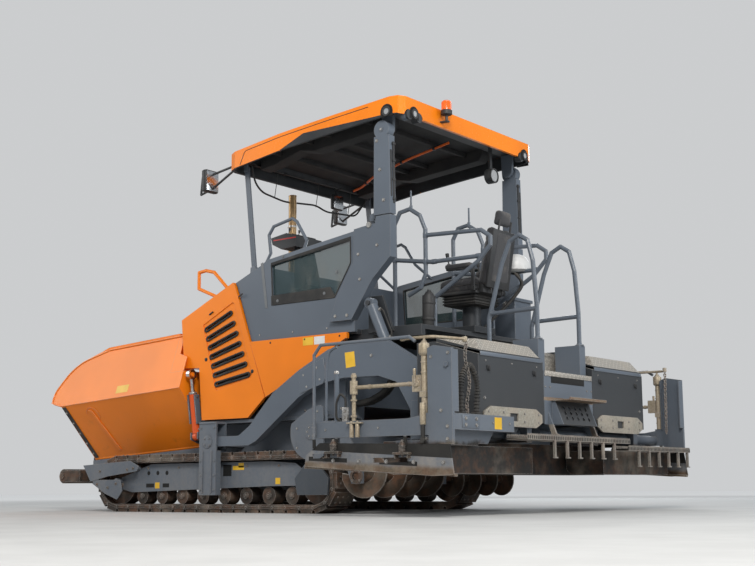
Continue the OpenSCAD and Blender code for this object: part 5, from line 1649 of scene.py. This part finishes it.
class PAVER_OT_arms(Operator):
    """Tow pins' caps, ribs, splice plates, bolts and blank labels of arms and guides, and push beam"""

    bl_idname = "paver.arms"
    bl_label = "Arm fittings"

    def execute(self, context):
        guide = Shape("tow_guide_bolts")
        face = 1.275
        pin = Vector((0.405, face, 0.685))
        guide.rod(pin, pin + Vector((0, 0.010, 0)), 0.062, 0.060, 28, 0.002)
        for at in around(pin + Vector((0, 0.010, 0)), "Y", 0.044, 4, 0.5):
            guide.bolt(at, (0, 1, 0), 0.009, 0.008)
        for z in (0.22, 0.36, 0.50, 0.82):
            for x in (0.315, 0.495):
                guide.bolt((x, face, z), (0, 1, 0), 0.010, 0.008)
        guide.pair("chassis", "frame_grey", "bright_steel")
        ribs = Shape("tow_guide_ribs")
        for x in (0.340, 0.463):
            ribs.block((x, face - 0.001, 0.19), (x + 0.010, face + 0.012, 0.60), 0.002)
        ribs.block((0.292, face - 0.001, 0.862), (0.518, face + 0.007, 0.876), 0.002)
        ribs.pair("chassis", "frame_grey", "steel_grey")

        bolts = Shape("arm_bolts")
        bolts.side_bolts(
            (
                (-0.82, 1.27), (-0.98, 1.33), (-0.86, 1.16), (-1.02, 1.22), (-1.62, 1.40), (-2.10, 1.12),
                (-2.22, 0.92), (-2.12, 0.74), (-2.24, 0.70)
            ),
            ARM_Y, 0.013, 0.009
        )
        bolts.rod((0.405, ARM_Y - 0.001, 0.685), (0.405, ARM_Y + 0.006, 0.685), 0.052, sides=24)
        bolts.pair("screed", "zinc", "bright_steel")
        plate = Shape("arm_splice_plates")
        plate.side_plate(
            ((-0.76, 1.30), (-1.06, 1.42), (-1.10, 1.26), (-1.06, 1.18), (-0.78, 1.10)), ARM_Y - 0.001, 0.008,
            0.002
        )
        plate.side_plate(
            ((-2.06, 0.98), (-2.275, 0.98), (-2.275, 0.64), (-2.06, 0.64)), ARM_Y - 0.001, 0.008, 0.002
        )
        plate.pair("screed", "panel_grey", "steel_grey")
        label = Shape("arm_labels")
        label.side_plate(
            ((-1.315, 1.445), (-1.425, 1.452), (-1.440, 1.315), (-1.330, 1.305)), ARM_Y - 0.0005, 0.0015
        )
        label.pair("screed", "label_yellow", "steel_grey")

        front = Shape("push_beam_fittings")
        cap = [(0.0, 0.004), (0.028, 0.004), (0.028, 0.0), (0.036, 0.0), (0.034, 0.012), (0.0, 0.012)]
        for side in (1, -1):
            for y, way in ((0.304, -side), (0.916, side)):
                front.turned((3.085, side * y, 0.380), (0, way, 0), cap, 20)
            for y in (0.20, 0.50, 0.80):
                front.bolt((2.915, side * y, 0.440), (0, 0, 1), 0.015, 0.012)
        front.done("push_beam", "track_steel_and_shade")
        return {"FINISHED"}


class PAVER_OT_screed(Operator):
    """Raised treads, edges, bolts, grips, hangers, gears, springs and chains of the screed"""

    bl_idname = "paver.screed"
    bl_label = "Screed fittings"

    def execute(self, context):
        rear = -2.930
        rivets = Shape("octagon_bolts")
        for y in (0.57, 0.80, 1.13, 1.36):
            for z in (0.775, 0.845):
                rivets.bolt((rear, y, z), (-1, 0, 0), 0.009, 0.006)
        for y in (0.56, 0.965, 1.37):
            rivets.bolt((-2.915, y, 1.262), (-1, 0, 0), 0.007, 0.005)
        rivets.bolt((-2.915, 1.395, 0.955), (-1, 0, 0), 0.012, 0.008)
        rivets.pair("screed", "zinc", "bright_steel")
        edge = Shape("cover_edges")
        edge.block((-2.9225, 0.486, 1.300), (-2.9145, 1.454, 1.334), 0.003)
        edge.pair("screed", "rail_grey", "bright_steel")
        # Tread plates raised on the covers, hipped at their ends.
        tread = Shape("cover_treads")
        line = [
            (-2.9145, 1.3115, 0.0), (-2.9145, 1.334, 0.0), (-2.832, 1.448, 0.058), (-2.50, 1.466, 0.058),
            (-2.487, 1.4385, 0.0)
        ]
        near = [tread.bm.verts.new((x, 0.490 + inset, z)) for x, z, inset in line]
        far = [tread.bm.verts.new((x, 1.450 - inset, z)) for x, z, inset in line]
        tread.bm.faces.new(near)
        tread.bm.faces.new(far)
        for k in range(len(line)):
            m = (k + 1) % len(line)
            tread.bm.faces.new((near[k], near[m], far[m], far[k]))
        tread.pair("screed", "tread_plate", "steel_grey")
        grips = Shape("cover_grips")
        for y in (0.60, 1.33):
            grips.block((-2.925, y - 0.025, 1.19), (-2.914, y + 0.025, 1.225), 0.003)
            grips.block((-2.934, y - 0.010, 1.175), (-2.922, y + 0.010, 1.222), 0.003)
        grips.pair("screed", "black_plastic", "charcoal")

        bits = Shape("centre_step_fittings")
        for y in (0.335, 0.420):
            for z in (1.10, 1.20):
                bits.bolt((-2.915, y, z), (-1, 0, 0), 0.008, 0.006)
        for y in (0.26, 0.20):
            bits.bolt((-2.915, y, 0.83), (-1, 0, 0), 0.007, 0.005)
        bits.pair("screed", "zinc", "bright_steel")
        mat = Shape("centre_step_nosings")
        mat.block((-2.9215, -0.425, 1.198), (-2.9145, 0.425, 1.2415), 0.0015)
        mat.block((-2.5645, -0.315, 1.438), (-2.5595, 0.315, 1.4715), 0.0015)
        mat.done("screed", "tread_plate")
        # A near-black sheet painted as the shade of the step's opening.
        mouth_shade = Shape("centre_step_mouth_shade")
        mouth_shade.block((-2.9175, -0.285, 1.140), (-2.9145, 0.315, 1.197), 0.001)
        mouth_shade.done("screed", "recess_shade_black")
        boxes = Shape("screed_control_boxes")
        boxes.block((-2.44, 0.60, 1.4385), (-2.30, 0.86, 1.52), 0.010, 2)
        boxes.pair("screed", "dark_paint", "charcoal")

        for name, body, start, z, x in (
            ("basic", "screed", 0.700, 0.620, -3.165),
            ("right", "extension_right_body", -0.930, 0.560, -3.135),
        ):
            hangers = Shape(f"tread_hangers_{name}")
            for k in range(6):
                y = start - 0.215 * k
                hangers.rod(
                    (x + 0.0135, y, z - 0.147), (x + 0.0135, y, z - 0.001), 0.0125, sides=16, bevel=0.003
                )
                hangers.rod((x + 0.0135, y, z - 0.030), (x + 0.0135, y, z - 0.018), 0.0140, sides=16)
                hangers.block((x + 0.002, y - 0.048, z - 0.152), (x + 0.026, y + 0.004, z - 0.141), 0.002)
            hangers.done(body, "tread_steel")

        for side, name in ((1, "left"), (-1, "right")):
            body = f"extension_{name}_body"
            out = Vector((0, side, 0))

            def spot(x, y, z):
                return Vector((x, side * y, z))

            bolts = Shape(f"flank_bolts_{name}")
            for x, z in (
                (-3.024, 0.696), (-3.022, 0.600), (-2.965, 0.819), (-3.036, 1.262), (-2.82, 0.607),
                (-2.875, 1.24)
            ):
                bolts.bolt(spot(x, FLANK_Y, z), out, 0.012, 0.009)
            for x in (-1.894, -2.163, -2.44, -2.708, -2.99):
                bolts.bolt(spot(x, 2.104, 0.437 + (x + 2.44) * 0.03), out, 0.014, 0.010)
            for x in (-1.80, -2.35):
                bolts.bolt(spot(x, FLANK_Y, 0.705), out, 0.009, 0.006)
            bolts.done(body, "zinc")

            sleeves = Shape(f"flank_sleeves_{name}")
            sleeves.block(spot(-2.20, 2.088, 0.745), spot(-2.05, 2.128, 0.757), 0.002)
            for x in (-2.095, -2.155):
                sleeves.rod(spot(x, 2.110, 0.745), spot(x, 2.110, 0.635), 0.017, 0.019, 14, 0.003)
                sleeves.rod(spot(x, 2.110, 0.757), spot(x, 2.110, 0.768), 0.011, sides=6)
            for z, r in ((0.93, 0.027), (0.80, 0.026)):
                sleeves.rod(spot(-2.09, 2.074, z), spot(-2.09, 2.074, z + 0.014), r, sides=16)
            sleeves.rod(spot(-2.09, 2.074, 1.146), spot(-2.09, 2.074, 1.158), 0.017, sides=6)
            sleeves.done(body, "dusty_metal")

            gear = Shape(f"gear_details_{name}")
            for z in (0.862, 1.12, 1.20):
                gear.rod(spot(-2.80, 2.074, z), spot(-2.80, 2.074, z + 0.012), 0.0275, sides=20)
            gear.rod(spot(-2.80, 2.074, 1.358), spot(-2.80, 2.074, 1.372), 0.022, sides=6)
            for x in (-2.66, -2.46, -2.26):
                gear.rod(spot(x, 2.074, 1.040), spot(x + 0.016, 2.074, 1.040), 0.0195, sides=18)
            gear.rod(spot(-2.80, 2.100, 0.715), spot(-2.80, 2.100, 0.885), 0.024, sides=20, bevel=0.004)
            gear.rod(spot(-2.80, 2.074, 1.258), spot(-2.80, 2.074, 1.270), 0.034, 0.043, 24)
            gear.rod(spot(-2.80, 2.074, 1.270), spot(-2.80, 2.074, 1.350), 0.043, sides=24, bevel=0.004)
            arm = [spot(-2.600, 2.066, 1.402), spot(-2.870, 2.066, 1.402), spot(-3.020, 1.800, 1.392)]
            gear.pipe(arm, 0.013, 12, 0.05)
            gear.rod(
                arm[0] - Vector((0.004, 0, 0)), arm[0] + Vector((0.03, 0, 0)), 0.018, sides=14, bevel=0.003
            )
            gear.rod(spot(-2.80, 2.070, 1.345), spot(-2.80, 2.070, 1.395), 0.011, sides=12)
            tip = spot(-3.010, 1.812, 1.392)
            gear.rod(tip - Vector((0, 0, 0.022)), tip + Vector((0, 0, 0.020)), 0.020, sides=14, bevel=0.003)
            hub = spot(-2.7365, 2.094, 1.040)
            gear.rod(hub, hub + out * 0.012, 0.030, 0.026, 20, 0.002)
            for k in range(4):
                turn = math.tau * (k + 0.5) / 4
                gear.bolt(
                    hub + Vector((0.036 * math.cos(turn), -side * 0.0005, 0.048 * math.sin(turn))), out,
                    0.006, 0.005
                )
            gear.pipe(
                [hub + out * 0.010, hub + out * 0.020, hub + out * 0.020 + Vector((0.004, 0, 0.06))], 0.007,
                8, 0.006
            )
            gear.rod(
                hub + out * 0.018 + Vector((0.004, 0, 0.06)), hub + out * 0.018 + Vector((0.004, 0, 0.115)),
                0.011, 0.013, 14, 0.004
            )
            gear.done(body, "dusty_metal")

            hooks = Shape(f"flank_brackets_{name}")
            hooks.pipe(
                [
                    spot(-1.80, 2.076, 0.769), spot(-1.80, 2.076, 1.25), spot(-1.835, 2.080, 1.36),
                    spot(-1.93, 2.095, 1.386)
                ],
                0.012, 10, 0.06
            )
            hooks.pipe([spot(-1.91, 2.074, 0.769), spot(-1.91, 2.074, 1.165)], 0.021, 16)
            hooks.block(spot(-1.93, 2.062, 0.768), spot(-1.77, 2.089, 0.780), 0.002)
            hooks.rod(spot(-3.026, FLANK_Y, 1.173), spot(-3.026, FLANK_Y + 0.018, 1.173), 0.018, 0.022, 6)
            hooks.done(body, "rail_grey")
            valve = Shape(f"flank_valve_{name}")
            valve.block(spot(-2.032, 2.060, 0.768), spot(-1.975, FLANK_Y, 0.885), 0.004)
            valve.rod(spot(-2.003, 2.088, 0.852), spot(-2.003, 2.104, 0.852), 0.013, sides=6)
            valve.rod(spot(-2.003, 2.088, 0.802), spot(-2.003, 2.104, 0.802), 0.013, sides=6)
            valve.rod(spot(-1.91, 2.074, 1.160), spot(-1.91, 2.074, 1.188), 0.023, 0.020, 16, 0.003)
            valve.done(body, "zinc")
            hose = Shape(f"flank_hose_{name}")
            hose.pipe(
                [
                    spot(-2.003, 2.075, 0.880), spot(-2.003, 2.075, 0.960), spot(-1.960, 2.092, 1.000),
                    spot(-1.925, 2.100, 0.930), spot(-1.925, 2.100, 0.800), spot(-1.955, 2.080, 0.772)
                ],
                0.010, 8, 0.05
            )
            hose.rod(spot(-2.80, 2.103, 0.592), spot(-2.80, 2.103, 0.722), 0.017, sides=14, bevel=0.003)
            hose.rod(spot(-2.80, 2.088, 0.592), spot(-2.80, 2.122, 0.592), 0.021, sides=14, bevel=0.003)
            hose.done(body, "black_rubber")

            chain = Shape(f"tie_chain_{name}")
            count = 27
            for k in range(count):
                f = k / (count - 1)
                sway = math.sin(f * math.pi * 3.0) * 0.014
                at = spot(-3.016 + sway * 0.5, 1.800 - 0.020 * f + sway, 1.360 - 0.60 * f)
                turn = 0.0 if k % 2 else math.pi / 2
                wide = Vector((math.cos(turn), math.sin(turn), 0)) * 0.012
                tall = Vector((0, 0, 0.0155))
                link = [
                    at - wide - tall, at + wide - tall, at + wide + tall, at - wide + tall, at - wide - tall
                ]
                chain.pipe(rounded(link, 0.007, 1), 0.0046, 5)
            chain.done(body, "roller_steel_and_shade")

            # Sprung bolts that press the shoe down, each on its lug.
            springs = Shape(f"shoe_springs_{name}")
            for x, low in ((-1.915, 0.522), (-2.615, 0.500)):
                at = spot(x, 2.126, low)
                springs.rod(at - Vector((0, 0, 0.030)), at + Vector((0, 0, 0.104)), 0.009, sides=10)
                coil = []
                for k in range(33):
                    turn = math.tau * k / 8
                    coil.append(
                        at + Vector((0.025 * math.cos(turn), 0.025 * math.sin(turn), 0.010 + 0.046 * k / 32))
                    )
                springs.pipe(coil, 0.0048, 6)
                springs.rod(at + Vector((0, 0, 0.056)), at + Vector((0, 0, 0.084)), 0.033, 0.018, 20, 0.002)
                springs.rod(at + Vector((0, 0, 0.084)), at + Vector((0, 0, 0.096)), 0.015, sides=6)
                springs.block(spot(x - 0.075, 2.103, low - 0.012), spot(x + 0.075, 2.158, low + 0.006), 0.002)
                edge = 2.146 if side > 0 else 2.158
                for leg in (x - 0.06, x + 0.06):
                    springs.block(
                        spot(leg - 0.006, 2.103, low - 0.042), spot(leg + 0.006, edge, low - 0.010), 0.002
                    )
            springs.done(body, "roller_steel_and_shade")

        store = Shape("drag_chain")
        points = [
            (-3.0, 1.86, 0.806), (-3.0, 1.86, 1.09), (-3.0, 1.74, 1.22), (-3.0, 1.62, 1.06),
            (-3.0, 1.65, 0.806)
        ]
        path = rounded(points, 0.10, 7)
        for a, b in zip(path, path[1:]):
            count = max(1, round((b - a).length / 0.030))
            for k in range(count):
                at = a.lerp(b, k / count)
                half = (b - a).normalized() * 0.007
                store.rod(at - half, at + half, 0.025, sides=10)
        store.pipe(path, 0.017, 12)
        for y in (1.86, 1.65):
            store.block((-3.030, y - 0.030, 0.8), (-2.970, y + 0.030, 0.822), 0.003)
        store.done("extension_left_body", "black_rubber")

        plate = Shape("beam_bolt_plate")
        plate.block((-3.063, 1.70, 0.688), (-3.0575, 1.94, 0.786), 0.0015)
        plate.done("extension_left_body", "panel_grey")
        heads = Shape("beam_plate_bolts")
        for y in (1.745, 1.895):
            for z in (0.712, 0.762):
                heads.bolt((-3.063, y, z), (-1, 0, 0), 0.013, 0.009)
        for y in (1.25, 1.50):
            heads.bolt((-3.058, y, 0.74), (-1, 0, 0), 0.009, 0.006)
        heads.done("extension_left_body", "zinc")
        label = Shape("beam_label")
        label.block((-3.0595, 1.37, 0.690), (-3.0575, 1.475, 0.785))
        label.done("extension_left_body", "label_yellow")
        return {"FINISHED"}


class PAVER_OT_body_details(Operator):
    """Exhaust clamps, auger bearings, frame bolts, near-black sheets painted as the shade of the frame's
    cut-outs, and blank labels
    """

    bl_idname = "paver.body_details"
    bl_label = "Frame fittings"

    def execute(self, context):
        pipe = Shape("exhaust_clamps")
        at = Vector((0.170, 0.300, 0))
        for z in (2.42, 2.95):
            pipe.rod(at + Vector((0, 0, z)), at + Vector((0, 0, z + 0.022)), 0.0455, sides=24, bevel=0.002)
            pipe.block((0.205, 0.288, z + 0.002), (0.232, 0.312, z + 0.020), 0.003)
            pipe.bolt((0.2185, 0.312, z + 0.011), (0, 1, 0), 0.007, 0.006)
        pipe.done("exhaust", "zinc")
        rim = Shape("exhaust_rim")
        z = 3.295
        profile = [
            (0.0365, -0.05), (0.0365, 0.002), (0.040, 0.005),
            (0.0440, 0.002), (0.0440, -0.006), (0.0421, -0.008),
        ]
        rim.turned(at + Vector((0, 0, z)), (0, 0, 1), profile, 32)
        rim.done("exhaust", "exhaust_tan")

        bearing = Shape("auger_bearings")
        x, z = -1.450, 0.335
        for y in (0.045, 1.250):
            bearing.turned((x, y, z), (0, 1, 0), [(0.036, 0.0), (0.072, 0.0), (0.068, 0.012), (0.037, 0.014)])
        for at in around((x, 1.262, z), "Y", 0.056, 4, 0.5):
            bearing.bolt(at, (0, 1, 0), 0.008, 0.006)
        bearing.pair("chassis", "roller_steel_and_shade", "steel_grey")

        frame_bolts = Shape("deflector_bolts")
        for at in around((-0.90, 1.234, 0.745), "Y", 0.045, 6):
            frame_bolts.bolt(at, (0, 1, 0), 0.008, 0.006)
        frame_bolts.side_bolts(((-0.72, 0.60), (-0.72, 0.78), (-0.97, 0.93)), 1.225, 0.009, 0.006)
        frame_bolts.pair("chassis", "zinc", "bright_steel")

        label = Shape("track_labels")
        for x, z, half, high in (
            (0.112, 0.430, 0.075, 0.020), (0.075, 0.455, 0.035, 0.022), (-0.406, 0.300, 0.030, 0.030),
            (1.262, 0.268, 0.032, 0.030)
        ):
            label.block((x - half, CHEEK_Y - 0.001, z - high), (x + half, CHEEK_Y + 0.0015, z + high))
        label.pair("chassis", "label_yellow", "steel_grey")
        # Near-black sheets and discs painted as the shade of the track frame's cut-outs and holes.
        opening_shade = Shape("track_frame_slot_shades")
        for x0, x1, z0, z1 in (
            (1.310, 1.429, 0.248, 0.288), (1.086, 1.182, 0.248, 0.288), (0.205, 0.318, 0.352, 0.462)
        ):
            opening_shade.block((x0, CHEEK_Y - 0.001, z0), (x1, CHEEK_Y + 0.0012, z1))
        for x in (1.393, 1.257, 1.121):
            opening_shade.rod((x, CHEEK_Y - 0.001, 0.394), (x, CHEEK_Y + 0.0012, 0.394), 0.022, sides=20)
        opening_shade.pair("chassis", "recess_shade_black", "charcoal")
        return {"FINISHED"}


# The camera as solved from the photograph: heading clockwise from +X, pitch up, roll.
CAMERA_AT = (-8.559, 10.071, 0.249)
HEADING, PITCH, ROLL = (math.radians(a) for a in (52.14, 9.144, -0.41))
LOOK_AT = Vector((0, 0, 1.4))


class PAVER_OT_stage(Operator):
    """Floor, backdrop, lights and the camera at the photograph's angle"""

    bl_idname = "paver.stage"
    bl_label = "Stage"

    def execute(self, context):
        values = context.scene.paver_stage
        half = values.floor_size / 2
        bm = bmesh.new()
        bmesh.ops.create_grid(bm, x_segments=1, y_segments=1, size=half)
        mesh = bpy.data.meshes.new("floor")
        bm.to_mesh(mesh)
        bm.free()
        floor = bpy.data.objects.new("floor", mesh)
        context.scene.collection.objects.link(floor)
        dress(floor, "floor")

        world = bpy.data.worlds.new("studio")
        context.scene.world = world
        world.use_nodes = True
        tree = world.node_tree
        tree.nodes.clear()
        out = tree.nodes.new("ShaderNodeOutputWorld")
        paths = tree.nodes.new("ShaderNodeLightPath")
        seen = tree.nodes.new("ShaderNodeMath")
        seen.operation = "MAXIMUM"
        tree.links.new(paths.outputs["Is Camera Ray"], seen.inputs[0])
        tree.links.new(paths.outputs["Is Transmission Ray"], seen.inputs[1])
        ambient = tree.nodes.new("ShaderNodeBackground")
        ambient.inputs[0].default_value = (0.90, 0.95, 1.0, 1.0)
        ambient.inputs[1].default_value = 0.42 * values.light
        shown = tree.nodes.new("ShaderNodeBackground")
        shown.inputs[0].default_value = (0.60, 0.61, 0.62, 1.0)
        shown.inputs[1].default_value = 1.0
        mix = tree.nodes.new("ShaderNodeMixShader")
        tree.links.new(seen.outputs[0], mix.inputs[0])
        tree.links.new(ambient.outputs[0], mix.inputs[1])
        tree.links.new(shown.outputs[0], mix.inputs[2])
        tree.links.new(mix.outputs[0], out.inputs[0])

        softboxes = (
            ("key", (-9.0, 9.5, 9.0), 4.0, 1350.0, (1.0, 0.97, 0.93)),
            ("rear_fill", (-11.0, -3.0, 5.0), 6.0, 380.0, (0.92, 0.96, 1.0)),
            ("front_fill", (9.0, 6.0, 6.0), 6.0, 330.0, (1.0, 0.98, 0.95)),
            ("right_fill", (3.0, -10.0, 6.0), 6.0, 380.0, (0.92, 0.96, 1.0)),
        )
        for name, at, size, power, colour in softboxes:
            light = bpy.data.lights.new(name, "AREA")
            light.shape = "DISK"
            light.size = size
            light.energy = power * values.light
            light.color = colour
            obj = bpy.data.objects.new(name, light)
            obj.location = at
            obj.rotation_euler = (LOOK_AT - Vector(at)).to_track_quat("-Z", "Y").to_euler()
            context.scene.collection.objects.link(obj)

        ahead = Vector(
            (math.cos(HEADING) * math.cos(PITCH), -math.sin(HEADING) * math.cos(PITCH), math.sin(PITCH))
        )
        level = Vector((-math.sin(HEADING), -math.cos(HEADING), 0.0))
        above = level.cross(ahead)
        right = level * math.cos(ROLL) + above * math.sin(ROLL)
        up = -level * math.sin(ROLL) + above * math.cos(ROLL)
        camera = bpy.data.cameras.new("camera")
        camera.sensor_width = 36.0
        camera.lens = values.lens
        camera.clip_end = 200.0
        obj = bpy.data.objects.new("camera", camera)
        turn = Matrix((right, up, -ahead)).transposed().to_4x4()
        obj.matrix_world = Matrix.Translation(CAMERA_AT) @ turn
        context.scene.collection.objects.link(obj)
        context.scene.camera = obj
        context.scene.view_settings.view_transform = "Standard"
        return {"FINISHED"}


class PAVER_PT_dressing(Panel):
    """Sidebar panel with the pieces and their values"""

    bl_idname = "PAVER_PT_dressing"
    bl_label = "Paver"
    bl_space_type = "VIEW_3D"
    bl_region_type = "UI"
    bl_category = "Paver"

    def draw(self, context):
        for group in ("paver_colours", "paver_stage"):
            values = getattr(context.scene, group)
            for key in values.bl_rna.properties.keys():
                if key not in ("rna_type", "name"):
                    self.layout.prop(values, key)
        for piece in PIECES:
            self.layout.operator(piece.bl_idname)


PIECES = (
    PAVER_OT_stage,
    PAVER_OT_finishes,
    PAVER_OT_tracks,
    PAVER_OT_hopper,
    PAVER_OT_hood,
    PAVER_OT_cabin,
    PAVER_OT_canopy,
    PAVER_OT_console,
    PAVER_OT_seat,
    PAVER_OT_platform,
    PAVER_OT_arms,
    PAVER_OT_screed,
    PAVER_OT_body_details,
)
CLASSES = (PaverColours, PaverStage, *PIECES, PAVER_PT_dressing)


def register():
    for cls in CLASSES:
        bpy.utils.register_class(cls)
    bpy.types.Scene.paver_colours = PointerProperty(type=PaverColours)
    bpy.types.Scene.paver_stage = PointerProperty(type=PaverStage)


def unregister():
    for group in ("paver_colours", "paver_stage"):
        delattr(bpy.types.Scene, group)
    for cls in reversed(CLASSES):
        bpy.utils.unregister_class(cls)


def main():
    register()
    for piece in PIECES:
        group, name = piece.bl_idname.split(".")
        getattr(getattr(bpy.ops, group), name)()


if __name__ == "__main__":
    main()
